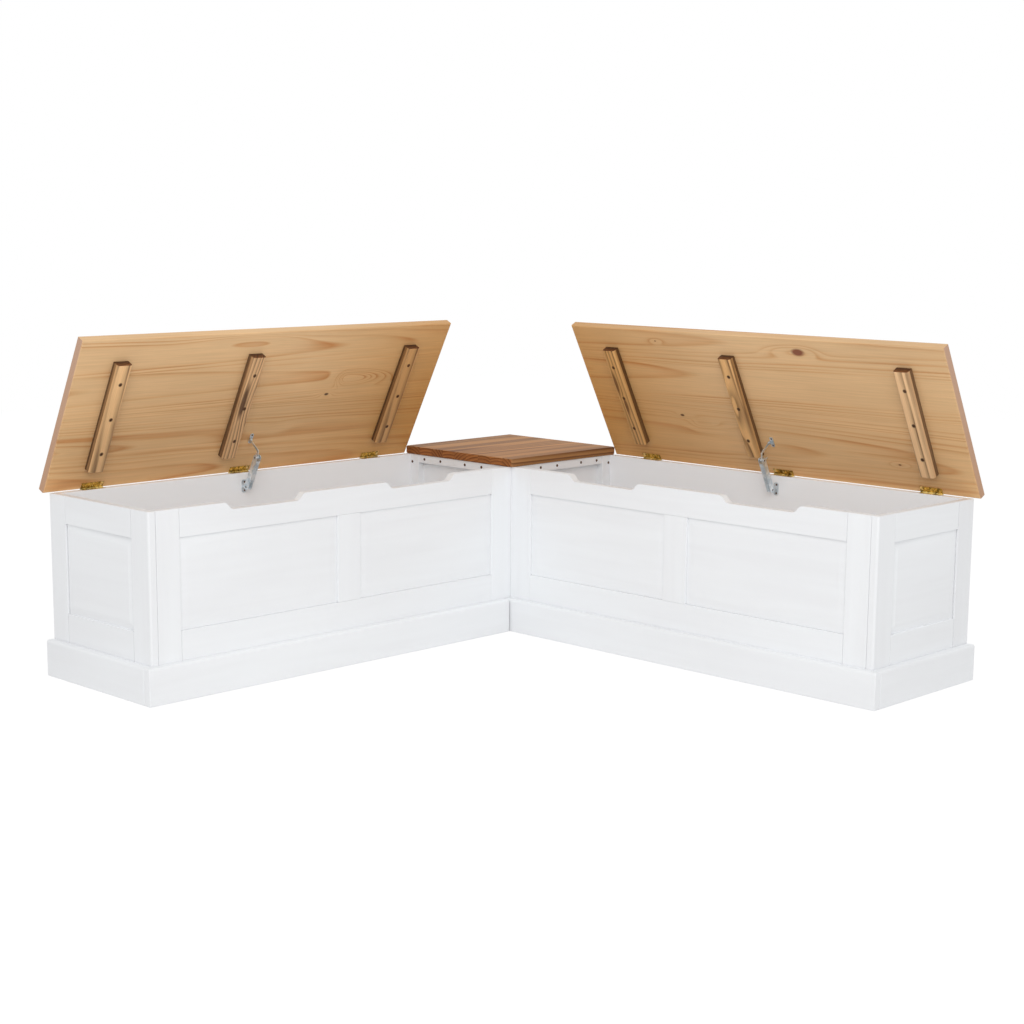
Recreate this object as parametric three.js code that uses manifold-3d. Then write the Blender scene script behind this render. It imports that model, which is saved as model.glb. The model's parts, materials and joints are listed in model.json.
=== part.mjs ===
// Corner storage bench: two painted pine chests meet in an L, each under a hinged seat lid,
// with a fixed square seat over the corner. Millimetres, +Z up.
// A piece is placed by run, its distance along its arm from the outer corner of the L, by depth,
// its distance from the back face of its arm towards the room, and by height above the floor.
import * as THREE from "three";
import { mergeVertices } from "three/addons/utils/BufferGeometryUtils.js";
import Module from "manifold-3d";

const wasm = await Module();
wasm.setup();

// Overall sizes
const ARM_LENGTH = 1500;
const CHEST_DEPTH = 388;
const CARCASS_HEIGHT = 425;
const SEAT_OVERHANG = 12;
const SEAT_THICKNESS = 21;
const SEAT_EDGE_RADIUS = 3;
const CORNER_SEAT_GAP = 4;
const LID_END_OVERHANG = 17;
const LID_CLEARANCE = 0.8;
const LID_OPEN_ANGLES = { left: THREE.MathUtils.degToRad(62.9), right: THREE.MathUtils.degToRad(62.1) };

// Clearance between pieces that touch, and the overrun of a cut past the surface it opens
const JOINT_GAP = 0.3;
const OVERRUN = 1;

// Boards of the carcass
const FRONT_FRAME_THICKNESS = 20;
const END_FRAME_THICKNESS = 18;
const BACK_THICKNESS = 18;
const END_EDGE_RADIUS = 5;

// Panelled frames: members, grooves and raised panels
const OUTER_STILE_WIDTH = 62.7;
const INNER_STILE_REACH = 69;
const TOP_RAIL_WIDTH = 64;
const BOTTOM_RAIL_TOP = 152;
const BOTTOM_RAIL_LIFT = 32;
const MUNTIN_RUN_SHARE = 0.496;
const MUNTIN_WIDTH = 68;
const END_FRONT_STILE_WIDTH = 66;
const END_BACK_STILE_WIDTH = 62;
const GROOVE_DEPTH = 8;
const TONGUE_THICKNESS = 6;
const TONGUE_SETBACK = 4;
const END_TONGUE_SETBACK = 3;
const FIELD_RECESS = 4;
const FIELD_STEP = 1.5;
const BEVEL_WIDTH = 20;

// Finger scoops in the top edge of each front rail
const SCOOP_RUN_SHARES = [0.2547, 0.7516];
const SCOOP_WIDTH = 236;
const SCOOP_FLAT = 180;
const SCOOP_DROP = 17;
const SCOOP_EASE_SHARE = 0.5;
const SCOOP_SEGMENTS = 6;

// Divider between each chest and the corner, with the batten that the corner seat is screwed to
const DIVIDER_SETBACK = 2;
const DIVIDER_THICKNESS = 10;
const DIVIDER_POST_WIDTH = 30;
const DIVIDER_POST_THICKNESS = 18;
const SEAT_RAIL_THICKNESS = 16;
const SEAT_RAIL_HEIGHT = 21;

// Floor and plinth
const FLOOR_HEIGHT = 60;
const FLOOR_THICKNESS = 12;
const PLINTH_HEIGHT = 85;
const PLINTH_THICKNESS = 21;
const PLINTH_EDGE_RADIUS = 6;

// Battens under each lid
const BATTEN_RUN_SHARES = { left: [0.1104, 0.5566, 0.8968], right: [0.1086, 0.4452, 0.8959] };
const BATTEN_WIDTH = 40;
const BATTEN_THICKNESS = 20;
const BATTEN_LENGTH = 285;
const BATTEN_EDGE_RADIUS = 6;

// Butt hinges let in flush, with the pin in line with the back edges of lid and chest
const HINGE_RUN_SHARES = [0.1158, 0.5018, 0.8842];
const HINGE_LENGTH = 60;
const HINGE_LEAF_REACH = 16;
const HINGE_PIN_DEPTH = 0;
const HINGE_LEAF_THICKNESS = 1.2;
const HINGE_KNUCKLES = 5;
const HINGE_BARREL_RADIUS = 2.5;
const HINGE_PIN_RADIUS = 1.1;
const BARREL_SEGMENTS = 14;

// Lid stays, both of one hand. The pivots are those at rest, as depth and rise above the rim.
const STAY_RUN_SHARES = { left: 0.5018, right: 0.491 };
const STAY_HANDS = { left: -1, right: 1 };
const STAY_BASE_DEPTH = 38.5;
const STAY_BASE_RISE = -33.5;
const STAY_KNEE_DEPTH = 77;
const STAY_KNEE_RISE = 43;
const STAY_BEND_DEPTH = 79.5;
const STAY_BEND_RISE = 60.5;
const STAY_LID_PIVOT_DEPTH = 51;
const STAY_LID_PIVOT_RISE = 84.3;
const STAY_PLATE = 1.2;
const STAY_CHANNEL_WIDTH = 12;
const STAY_ARM_WIDTH = 15;
const STAY_WEB_SHARES = [0.08, 0.76];
const STAY_STRAP_THICKNESS = 1.8;
const STAY_STRAP_WIDTH = 5;
const STAY_LID_EYE_RADIUS = 4;
const STAY_RIVET_RADIUS = 1.4;
const STAY_RIVET_HEAD_RADIUS = 3;
const STAY_RIVET_HEAD_HEIGHT = 1;
const STAY_KNEE_PLAY = 2.1;
const STAY_EYE_WALL = 1.6;
const STAY_LUG_LENGTH = 15;
const STAY_LUG_WIDTH = 4;
const STAY_BASE_FOOT_WIDTH = 14;
const STAY_BASE_FOOT_HEIGHT = 32;
const STAY_LID_FOOT_WIDTH = 10;
const STAY_LID_FOOT_LENGTH = 28;
const RIVET_SEGMENTS = 16;
const EYE_SEGMENTS = 20;

// Places that follow from the sizes above
const SEAT_DEPTH = CHEST_DEPTH + SEAT_OVERHANG;
const FRONT_FRAME_BACK = CHEST_DEPTH - FRONT_FRAME_THICKNESS;
const END_FRAME_INNER = ARM_LENGTH - END_FRAME_THICKNESS;
const BODY_END = END_FRAME_INNER - JOINT_GAP;
const INNER_STILE_EDGE = CHEST_DEPTH + INNER_STILE_REACH;
const OUTER_STILE_EDGE = BODY_END - OUTER_STILE_WIDTH;
const TOP_RAIL_BOTTOM = CARCASS_HEIGHT - TOP_RAIL_WIDTH;
const END_OPENING_FRONT = CHEST_DEPTH - END_FRONT_STILE_WIDTH;
const LID_START = SEAT_DEPTH + CORNER_SEAT_GAP;
const LID_END = ARM_LENGTH + LID_END_OVERHANG;
const LID_UNDERSIDE = CARCASS_HEIGHT + LID_CLEARANCE;
const PIN_HEIGHT = CARCASS_HEIGHT + LID_CLEARANCE / 2;
const HINGE_PIN = { depth: HINGE_PIN_DEPTH, height: PIN_HEIGHT };
const BARREL_FRONT = HINGE_PIN_DEPTH + HINGE_BARREL_RADIUS + JOINT_GAP;
const DIVIDER_RUN = FRONT_FRAME_BACK + DIVIDER_SETBACK;
const MUNTIN_RUN = THREE.MathUtils.lerp(INNER_STILE_EDGE, OUTER_STILE_EDGE, MUNTIN_RUN_SHARE);
const SCOOP_RUNS = SCOOP_RUN_SHARES.map((share) => (
  THREE.MathUtils.lerp(INNER_STILE_EDGE, OUTER_STILE_EDGE, share)
));
const HINGE_RUNS = HINGE_RUN_SHARES.map(alongLid);
const STAY_BASE_PIVOT = { depth: STAY_BASE_DEPTH, height: CARCASS_HEIGHT + STAY_BASE_RISE };
const STAY_KNEE = { depth: STAY_KNEE_DEPTH, height: CARCASS_HEIGHT + STAY_KNEE_RISE };
const STAY_BEND = { depth: STAY_BEND_DEPTH, height: CARCASS_HEIGHT + STAY_BEND_RISE };
const STAY_LID_PIVOT = { depth: STAY_LID_PIVOT_DEPTH, height: CARCASS_HEIGHT + STAY_LID_PIVOT_RISE };
const STAY_HALF = STAY_CHANNEL_WIDTH / 2;
const STAY_WALLS = [[-STAY_HALF, STAY_PLATE - STAY_HALF], [STAY_HALF - STAY_PLATE, STAY_HALF]];

// A place along the lid, from its share of the lid's length
function alongLid(share) {
  return THREE.MathUtils.lerp(LID_START, LID_END, share);
}

// Finishes
const finish = {
  paint: new THREE.MeshStandardMaterial({ color: 0xeeedea, roughness: 0.55, metalness: 0 }),
  pine: new THREE.MeshStandardMaterial({ color: 0xcf9f66, roughness: 0.45, metalness: 0 }),
  darkPine: new THREE.MeshStandardMaterial({ color: 0xb07f54, roughness: 0.45, metalness: 0 }),
  brass: new THREE.MeshStandardMaterial({ color: 0xc9a24a, roughness: 0.35, metalness: 1 }),
  zinc: new THREE.MeshStandardMaterial({ color: 0xb9bfc2, roughness: 0.35, metalness: 1 }),
};

// A closed geometry as a solid for joins and cuts, and back
function solidOf(geometry) {
  const plain = geometry.index ? geometry.toNonIndexed() : geometry.clone();
  plain.deleteAttribute("normal");
  plain.deleteAttribute("uv");
  const merged = mergeVertices(plain);
  return new wasm.Manifold(
    new wasm.Mesh({
      numProp: 3,
      vertProperties: new Float32Array(merged.attributes.position.array),
      triVerts: new Uint32Array(merged.index.array),
    }),
  );
}

function geometryOf(solid) {
  const mesh = solid.getMesh();
  const positions = new Float32Array(mesh.numVert * 3);
  for (let i = 0; i < mesh.numVert; i++) {
    const start = i * mesh.numProp;
    positions.set(mesh.vertProperties.subarray(start, start + 3), i * 3);
  }
  const geometry = new THREE.BufferGeometry();
  geometry.setAttribute("position", new THREE.BufferAttribute(positions, 3));
  geometry.setIndex(new THREE.BufferAttribute(new Uint32Array(mesh.triVerts), 1));
  geometry.computeVertexNormals();
  return geometry;
}

function join(...geometries) {
  return geometryOf(geometries.map(solidOf).reduce((whole, piece) => whole.add(piece)));
}

function cut(geometry, ...tools) {
  return geometryOf(tools.map(solidOf).reduce((whole, tool) => whole.subtract(tool), solidOf(geometry)));
}

// A box given by its two ends in run, depth and height
function block([run0, run1], [depth0, depth1], [height0, height1]) {
  const geometry = new THREE.BoxGeometry(run1 - run0, depth1 - depth0, height1 - height0);
  geometry.translate((run0 + run1) / 2, -(depth0 + depth1) / 2, (height0 + height1) / 2);
  return geometry;
}

// A board lying flat, with all the edges of its two faces rounded
function roundedBoard([run0, run1], [depth0, depth1], [height0, height1], radius) {
  const shape = new THREE.Shape();
  shape.moveTo(run0, -depth1);
  shape.lineTo(run1, -depth1);
  shape.lineTo(run1, -depth0);
  shape.lineTo(run0, -depth0);
  shape.closePath();
  const geometry = new THREE.ExtrudeGeometry(shape, {
    depth: height1 - height0 - 2 * radius,
    bevelThickness: radius,
    bevelSize: radius,
    bevelOffset: -radius,
    bevelSegments: 4,
  });
  geometry.translate(0, 0, height0 + radius);
  return geometry;
}

// An outline in depth and height, run out along the arm
function alongRun(shape, [run0, run1]) {
  const geometry = new THREE.ExtrudeGeometry(shape, {
    depth: run1 - run0,
    bevelEnabled: false,
    curveSegments: 5,
  });
  geometry.applyMatrix4(new THREE.Matrix4().makeBasis(
    new THREE.Vector3(0, -1, 0),
    new THREE.Vector3(0, 0, 1),
    new THREE.Vector3(-1, 0, 0),
  ));
  geometry.translate(run1, 0, 0);
  return geometry;
}

// A disc or rod along the run, round a point of depth and height
function rod({ depth, height }, radius, [run0, run1], segments) {
  const geometry = new THREE.CylinderGeometry(radius, radius, run1 - run0, segments);
  geometry.rotateZ(Math.PI / 2);
  geometry.translate((run0 + run1) / 2, -depth, height);
  return geometry;
}

// A flat bar between two points of depth and height, its faces square to the run
function bar(from, to, width, runs, shift = 0) {
  const length = Math.hypot(to.depth - from.depth, to.height - from.height);
  const angle = Math.atan2(to.height - from.height, to.depth - from.depth);
  const geometry = new THREE.BoxGeometry(runs[1] - runs[0], length, width);
  geometry.translate(0, -length / 2, shift);
  geometry.rotateX(-angle);
  geometry.translate((runs[0] + runs[1]) / 2, -from.depth, from.height);
  return geometry;
}

function pointBetween(from, to, share) {
  return {
    depth: THREE.MathUtils.lerp(from.depth, to.depth, share),
    height: THREE.MathUtils.lerp(from.height, to.height, share),
  };
}

function mesh(name, geometry, material) {
  const piece = new THREE.Mesh(geometry, material);
  piece.name = name;
  return piece;
}

// A raised panel: a tongue all round, a bevel and a flat field, as rings of four corners.
// place(u, v, w) turns across, up and out of the face into a point of the arm.
function raisedPanel([u0, u1], [v0, v1], back, face, place) {
  const tongue = GROOVE_DEPTH - JOINT_GAP;
  const front = back + TONGUE_THICKNESS;
  const rings = [
    { grow: tongue, out: back },
    { grow: tongue, out: front },
    { grow: 0, out: front },
    { grow: -BEVEL_WIDTH, out: face - FIELD_STEP },
    { grow: -BEVEL_WIDTH, out: face },
  ];
  const points = [];
  for (const { grow, out } of rings) {
    points.push(place(u0 - grow, v0 - grow, out));
    points.push(place(u1 + grow, v0 - grow, out));
    points.push(place(u1 + grow, v1 + grow, out));
    points.push(place(u0 - grow, v1 + grow, out));
  }
  const faces = [0, 2, 1, 0, 3, 2];
  for (let ring = 0; ring < rings.length - 1; ring++) {
    for (let side = 0; side < 4; side++) {
      const a = ring * 4 + side;
      const b = ring * 4 + ((side + 1) % 4);
      faces.push(a, b, b + 4, a, b + 4, a + 4);
    }
  }
  const last = (rings.length - 1) * 4;
  faces.push(last, last + 1, last + 2, last, last + 2, last + 3);
  const geometry = new THREE.BufferGeometry().setFromPoints(points);
  geometry.setIndex(faces);
  geometry.computeVertexNormals();
  return geometry;
}

// Front frame of one chest: grooved stiles, rails and muntin round two raised panels
function frontFrame(side, stileStart) {
  const depths = [FRONT_FRAME_BACK, CHEST_DEPTH];
  const tongueBack = FRONT_FRAME_BACK + TONGUE_SETBACK;
  const tongueDepths = [tongueBack + JOINT_GAP, tongueBack + TONGUE_THICKNESS - JOINT_GAP];
  const grooveDepths = [tongueBack - JOINT_GAP, tongueBack + TONGUE_THICKNESS + JOINT_GAP];
  const fullHeight = [0, CARCASS_HEIGHT];
  const cutHeight = [-OVERRUN, CARCASS_HEIGHT + OVERRUN];
  const railRuns = [INNER_STILE_EDGE + JOINT_GAP, OUTER_STILE_EDGE - JOINT_GAP];
  const tenon = GROOVE_DEPTH - JOINT_GAP;
  const tenonRuns = [INNER_STILE_EDGE - tenon, OUTER_STILE_EDGE + tenon];
  const muntinRuns = [MUNTIN_RUN - MUNTIN_WIDTH / 2, MUNTIN_RUN + MUNTIN_WIDTH / 2];
  const muntinHeights = [BOTTOM_RAIL_TOP + JOINT_GAP, TOP_RAIL_BOTTOM - JOINT_GAP];
  const openings = [[INNER_STILE_EDGE, muntinRuns[0]], [muntinRuns[1], OUTER_STILE_EDGE]];

  const stile = (runs, edge) => cut(
    block(runs, depths, fullHeight),
    block([edge - GROOVE_DEPTH, edge + GROOVE_DEPTH], grooveDepths, cutHeight),
  );
  const topTenon = [TOP_RAIL_BOTTOM + GROOVE_DEPTH, CARCASS_HEIGHT];
  const bottomTenon = [BOTTOM_RAIL_LIFT, BOTTOM_RAIL_TOP - GROOVE_DEPTH];
  const topGroove = [TOP_RAIL_BOTTOM - OVERRUN, TOP_RAIL_BOTTOM + GROOVE_DEPTH];
  const bottomGroove = [BOTTOM_RAIL_TOP - GROOVE_DEPTH, BOTTOM_RAIL_TOP + OVERRUN];
  const topRail = cut(
    join(
      block(railRuns, depths, [TOP_RAIL_BOTTOM, CARCASS_HEIGHT]),
      block(tenonRuns, tongueDepths, topTenon),
    ),
    block(tenonRuns, grooveDepths, topGroove),
    ...SCOOP_RUNS.map(scoop),
  );
  const bottomRail = cut(
    join(
      block(railRuns, depths, [BOTTOM_RAIL_LIFT, BOTTOM_RAIL_TOP]),
      block(tenonRuns, tongueDepths, bottomTenon),
    ),
    block(tenonRuns, grooveDepths, bottomGroove),
  );
  const muntin = cut(
    join(
      block(muntinRuns, depths, muntinHeights),
      block(
        [muntinRuns[0] + GROOVE_DEPTH, muntinRuns[1] - GROOVE_DEPTH],
        tongueDepths,
        [BOTTOM_RAIL_TOP - tenon, TOP_RAIL_BOTTOM + tenon],
      ),
    ),
    ...muntinRuns.map((edge, i) => block(
      i ? [edge - GROOVE_DEPTH, edge + OVERRUN] : [edge - OVERRUN, edge + GROOVE_DEPTH],
      grooveDepths,
      [0, CARCASS_HEIGHT],
    )),
  );
  const panel = (runs) => raisedPanel(
    runs,
    [BOTTOM_RAIL_TOP, TOP_RAIL_BOTTOM],
    tongueBack,
    CHEST_DEPTH - FIELD_RECESS,
    (u, v, w) => new THREE.Vector3(u, -w, v),
  );
  return [
    mesh(`${side}_front_inner_stile`, stile([stileStart, INNER_STILE_EDGE], INNER_STILE_EDGE), finish.paint),
    mesh(`${side}_front_outer_stile`, stile([OUTER_STILE_EDGE, BODY_END], OUTER_STILE_EDGE), finish.paint),
    mesh(`${side}_front_top_rail`, topRail, finish.paint),
    mesh(`${side}_front_bottom_rail`, bottomRail, finish.paint),
    mesh(`${side}_front_muntin`, muntin, finish.paint),
    mesh(`${side}_front_inner_panel`, panel(openings[0]), finish.paint),
    mesh(`${side}_front_outer_panel`, panel(openings[1]), finish.paint),
  ];
}

// The waste of one finger scoop: a flat bottom that eases up to the rail's top edge at both ends
function scoop(centre) {
  const bottom = CARCASS_HEIGHT - SCOOP_DROP;
  const ease = (SCOOP_WIDTH - SCOOP_FLAT) / 2;
  const pull = ease * SCOOP_EASE_SHARE;
  const [left, right] = [centre - SCOOP_WIDTH / 2, centre + SCOOP_WIDTH / 2];
  const shape = new THREE.Shape();
  shape.moveTo(left, CARCASS_HEIGHT);
  shape.bezierCurveTo(left + pull, CARCASS_HEIGHT, left + ease - pull, bottom, left + ease, bottom);
  shape.lineTo(right - ease, bottom);
  shape.bezierCurveTo(right - ease + pull, bottom, right - pull, CARCASS_HEIGHT, right, CARCASS_HEIGHT);
  shape.lineTo(right, CARCASS_HEIGHT + OVERRUN);
  shape.lineTo(left, CARCASS_HEIGHT + OVERRUN);
  shape.closePath();
  const geometry = new THREE.ExtrudeGeometry(shape, {
    depth: FRONT_FRAME_THICKNESS + 2 * OVERRUN,
    bevelEnabled: false,
    curveSegments: SCOOP_SEGMENTS,
  });
  geometry.rotateX(Math.PI / 2);
  geometry.translate(0, -(FRONT_FRAME_BACK - OVERRUN), 0);
  return geometry;
}

// End frame: stiles and rails glued into one frame round a raised panel, standing on its stiles
function endFrame(side) {
  const runs = [END_FRAME_INNER, ARM_LENGTH];
  const tongueBack = END_FRAME_INNER + END_TONGUE_SETBACK;
  const grooveRuns = [tongueBack - JOINT_GAP, tongueBack + TONGUE_THICKNESS + JOINT_GAP];
  const sightDepths = [END_BACK_STILE_WIDTH, END_OPENING_FRONT];
  const sightHeights = [BOTTOM_RAIL_TOP, TOP_RAIL_BOTTOM];
  const edgeCentre = [runs[1] - END_EDGE_RADIUS, END_EDGE_RADIUS - CHEST_DEPTH];
  const frontStile = new THREE.Shape();
  frontStile.moveTo(runs[0], -END_OPENING_FRONT);
  frontStile.lineTo(runs[0], -CHEST_DEPTH);
  frontStile.lineTo(edgeCentre[0], -CHEST_DEPTH);
  frontStile.absarc(...edgeCentre, END_EDGE_RADIUS, -Math.PI / 2, 0, false);
  frontStile.lineTo(runs[1], -END_OPENING_FRONT);
  frontStile.closePath();
  const stileGeometry = new THREE.ExtrudeGeometry(frontStile, {
    depth: CARCASS_HEIGHT,
    bevelEnabled: false,
    curveSegments: 4,
  });
  const acrossDepths = [END_BACK_STILE_WIDTH - OVERRUN, END_OPENING_FRONT + OVERRUN];
  const frame = cut(
    join(
      stileGeometry,
      block(runs, [0, END_BACK_STILE_WIDTH], [0, CARCASS_HEIGHT]),
      block(runs, acrossDepths, [TOP_RAIL_BOTTOM, CARCASS_HEIGHT]),
      block(runs, acrossDepths, [BOTTOM_RAIL_LIFT, BOTTOM_RAIL_TOP]),
    ),
    block(
      grooveRuns,
      [sightDepths[0] - GROOVE_DEPTH, sightDepths[1] + GROOVE_DEPTH],
      [sightHeights[0] - GROOVE_DEPTH, sightHeights[1] + GROOVE_DEPTH],
    ),
  );
  const panel = raisedPanel(
    sightDepths,
    sightHeights,
    tongueBack,
    ARM_LENGTH - FIELD_RECESS,
    (u, v, w) => new THREE.Vector3(w, -(sightDepths[0] + sightDepths[1] - u), v),
  );
  return [mesh(`${side}_end_frame`, frame, finish.paint), mesh(`${side}_end_panel`, panel, finish.paint)];
}

// Back, floor and the divider towards the corner
function carcassBoards(side, backStart, floorStart) {
  const innerDepths = [BACK_THICKNESS + JOINT_GAP, FRONT_FRAME_BACK - JOINT_GAP];
  const floorTop = FLOOR_HEIGHT + FLOOR_THICKNESS;
  const dividerHeights = [floorTop + JOINT_GAP, CARCASS_HEIGHT];
  const postRun = DIVIDER_RUN + DIVIDER_THICKNESS;
  const postDepth = innerDepths[0] + DIVIDER_POST_WIDTH;
  const divider = join(
    block([DIVIDER_RUN, postRun], innerDepths, dividerHeights),
    block([postRun - OVERRUN, postRun + DIVIDER_POST_THICKNESS], [innerDepths[0], postDepth], dividerHeights),
  );
  const seatRail = block(
    [postRun + JOINT_GAP, postRun + SEAT_RAIL_THICKNESS],
    [postDepth + JOINT_GAP, innerDepths[1]],
    [CARCASS_HEIGHT - SEAT_RAIL_HEIGHT, CARCASS_HEIGHT],
  );
  const back = cut(
    block([backStart, BODY_END], [0, BACK_THICKNESS], [0, CARCASS_HEIGHT]),
    ...hingePockets([CARCASS_HEIGHT - HINGE_LEAF_THICKNESS - JOINT_GAP, CARCASS_HEIGHT + OVERRUN]),
  );
  const floor = block([floorStart, BODY_END], innerDepths, [FLOOR_HEIGHT, floorTop]);
  return [
    mesh(`${side}_back_panel`, back, finish.paint),
    mesh(`${side}_floor_panel`, floor, finish.paint),
    mesh(`${side}_divider`, divider, finish.paint),
    mesh(`${side}_seat_rail`, seatRail, finish.paint),
  ];
}

// Plinth boards, the front one lapping the end one, each with its outer top edge rounded
function plinth(side, frontStart) {
  const inner = CHEST_DEPTH + JOINT_GAP;
  const outer = inner + PLINTH_THICKNESS;
  const profile = new THREE.Shape();
  profile.moveTo(inner, 0);
  profile.lineTo(outer, 0);
  profile.lineTo(outer, PLINTH_HEIGHT - PLINTH_EDGE_RADIUS);
  profile.absarc(
    outer - PLINTH_EDGE_RADIUS,
    PLINTH_HEIGHT - PLINTH_EDGE_RADIUS,
    PLINTH_EDGE_RADIUS,
    0,
    Math.PI / 2,
    false,
  );
  profile.lineTo(inner, PLINTH_HEIGHT);
  profile.closePath();
  const endOuter = ARM_LENGTH + JOINT_GAP + PLINTH_THICKNESS;
  const front = alongRun(profile, [frontStart, endOuter]);
  const end = alongRun(profile, [0, CHEST_DEPTH]);
  end.rotateZ(Math.PI / 2);
  end.translate(ARM_LENGTH - CHEST_DEPTH, -CHEST_DEPTH, 0);
  return [mesh(`${side}_plinth_front`, front, finish.paint), mesh(`${side}_plinth_end`, end, finish.paint)];
}

// Recesses that take the leaves of one row of hinges, open at the back for their knuckles
function hingePockets(heights) {
  const reach = HINGE_LENGTH / 2 + JOINT_GAP;
  return HINGE_RUNS.flatMap((run) => {
    const runs = [run - reach, run + reach];
    return [
      block(runs, [-OVERRUN, HINGE_LEAF_REACH + JOINT_GAP], heights),
      rod(HINGE_PIN, HINGE_BARREL_RADIUS + JOINT_GAP, runs, BARREL_SEGMENTS),
    ];
  });
}

// Knuckles of one hinge leaf: every second one, counted from first
function knuckles(centre, first, radius, grow) {
  const pitch = HINGE_LENGTH / HINGE_KNUCKLES;
  const start = centre - HINGE_LENGTH / 2;
  const rods = [];
  for (let i = first; i < HINGE_KNUCKLES; i += 2) {
    const runs = [start + i * pitch + JOINT_GAP / 2 - grow, start + (i + 1) * pitch - JOINT_GAP / 2 + grow];
    rods.push(rod(HINGE_PIN, radius, runs, BARREL_SEGMENTS));
  }
  return rods;
}

// One hinge leaf with its share of the knuckles, lying flat as it does under a closed lid
function hingeLeaf(centre, first, heights) {
  const pitch = HINGE_LENGTH / HINGE_KNUCKLES;
  const start = centre - HINGE_LENGTH / 2;
  const pieces = [block([start, start + HINGE_LENGTH], [BARREL_FRONT, HINGE_LEAF_REACH], heights)];
  for (let i = first; i < HINGE_KNUCKLES; i += 2) {
    const runs = [start + i * pitch + JOINT_GAP / 2, start + (i + 1) * pitch - JOINT_GAP / 2];
    pieces.push(block(runs, [HINGE_PIN_DEPTH, HINGE_LEAF_REACH / 2], heights));
  }
  return join(...pieces, ...knuckles(centre, first, HINGE_BARREL_RADIUS, 0));
}

// The leaf screwed to the back panel, with the pin riveted into its knuckles
function fixedLeaf(centre) {
  const leaf = hingeLeaf(centre, 0, [CARCASS_HEIGHT - HINGE_LEAF_THICKNESS, CARCASS_HEIGHT]);
  const runs = [centre - HINGE_LENGTH / 2 + JOINT_GAP, centre + HINGE_LENGTH / 2 - JOINT_GAP];
  const pin = rod(HINGE_PIN, HINGE_PIN_RADIUS, runs, BARREL_SEGMENTS);
  return join(leaf, pin);
}

// The leaf screwed under the lid, bored for the pin
function movingLeaf(centre) {
  const leaf = hingeLeaf(centre, 1, [LID_UNDERSIDE, LID_UNDERSIDE + HINGE_LEAF_THICKNESS]);
  return cut(leaf, ...knuckles(centre, 1, HINGE_PIN_RADIUS + JOINT_GAP, OVERRUN));
}

// Where a piece of a stay lies along the run, from its limits across the stay
function across(side, [near, far]) {
  const middle = alongLid(STAY_RUN_SHARES[side]);
  const ends = [near, far].map((reach) => middle + STAY_HANDS[side] * reach);
  return ends.sort((a, b) => a - b);
}

// Fixed part of the stay: a foot screwed to the back panel, with an ear for the arm's rivet
function stayBase(side) {
  const faceDepth = BACK_THICKNESS + JOINT_GAP;
  const start = STAY_WALLS[0][1] + JOINT_GAP;
  const ear = [start, start + STAY_PLATE];
  const footRuns = across(side, [start, start + STAY_BASE_FOOT_WIDTH]);
  const footHeights = [
    STAY_BASE_PIVOT.height - STAY_BASE_FOOT_HEIGHT / 2,
    STAY_BASE_PIVOT.height + STAY_BASE_FOOT_HEIGHT / 2,
  ];
  const root = { depth: faceDepth + STAY_PLATE / 2, height: STAY_BASE_PIVOT.height };
  const earRadius = STAY_RIVET_RADIUS + JOINT_GAP + STAY_EYE_WALL;
  return cut(
    join(
      block(footRuns, [faceDepth, faceDepth + STAY_PLATE], footHeights),
      bar(root, STAY_BASE_PIVOT, 2 * earRadius, across(side, ear)),
      rod(STAY_BASE_PIVOT, earRadius, across(side, ear), EYE_SEGMENTS),
    ),
    rod(STAY_BASE_PIVOT, STAY_RIVET_RADIUS + JOINT_GAP, across(side, wider(ear)), RIVET_SEGMENTS),
  );
}

function wider([near, far]) {
  return [near - OVERRUN, far + OVERRUN];
}

// A rivet across the channel, with a low head outside each wall
function channelRivet(side, pivot) {
  const heads = [
    [-STAY_HALF - STAY_RIVET_HEAD_HEIGHT, STAY_PLATE / 2 - STAY_HALF],
    [STAY_HALF - STAY_PLATE / 2, STAY_HALF + STAY_RIVET_HEAD_HEIGHT],
  ];
  return [
    rod(pivot, STAY_RIVET_RADIUS, across(side, [-STAY_HALF, STAY_HALF]), RIVET_SEGMENTS),
    ...heads.map((head) => rod(pivot, STAY_RIVET_HEAD_RADIUS, across(side, head), RIVET_SEGMENTS)),
  ];
}

// Lower arm of the stay: a pressed channel, open at the back, whose web stops short of both pivots
function stayArm(side) {
  const [webTop, webEnd] = STAY_WEB_SHARES.map((share) => pointBetween(STAY_KNEE, STAY_BASE_PIVOT, share));
  const webShift = (STAY_ARM_WIDTH - STAY_PLATE) / 2;
  const along = Math.atan2(
    STAY_BASE_PIVOT.height - STAY_KNEE.height,
    STAY_BASE_PIVOT.depth - STAY_KNEE.depth,
  );
  const lugAngle = along - Math.PI / 2;
  const lugEnd = {
    depth: STAY_KNEE.depth + STAY_LUG_LENGTH * Math.cos(lugAngle),
    height: STAY_KNEE.height + STAY_LUG_LENGTH * Math.sin(lugAngle),
  };
  const pieces = [bar(webTop, webEnd, STAY_PLATE, across(side, [-STAY_HALF, STAY_HALF]), webShift)];
  for (const wall of STAY_WALLS) {
    const runs = across(side, wall);
    pieces.push(bar(STAY_KNEE, STAY_BASE_PIVOT, STAY_ARM_WIDTH, runs));
    pieces.push(rod(STAY_KNEE, STAY_ARM_WIDTH / 2, runs, EYE_SEGMENTS));
    pieces.push(rod(STAY_BASE_PIVOT, STAY_ARM_WIDTH / 2, runs, EYE_SEGMENTS));
  }
  pieces.push(bar(STAY_KNEE, lugEnd, STAY_LUG_WIDTH, across(side, STAY_WALLS[1])));
  return join(...pieces, ...channelRivet(side, STAY_KNEE), ...channelRivet(side, STAY_BASE_PIVOT));
}

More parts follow.
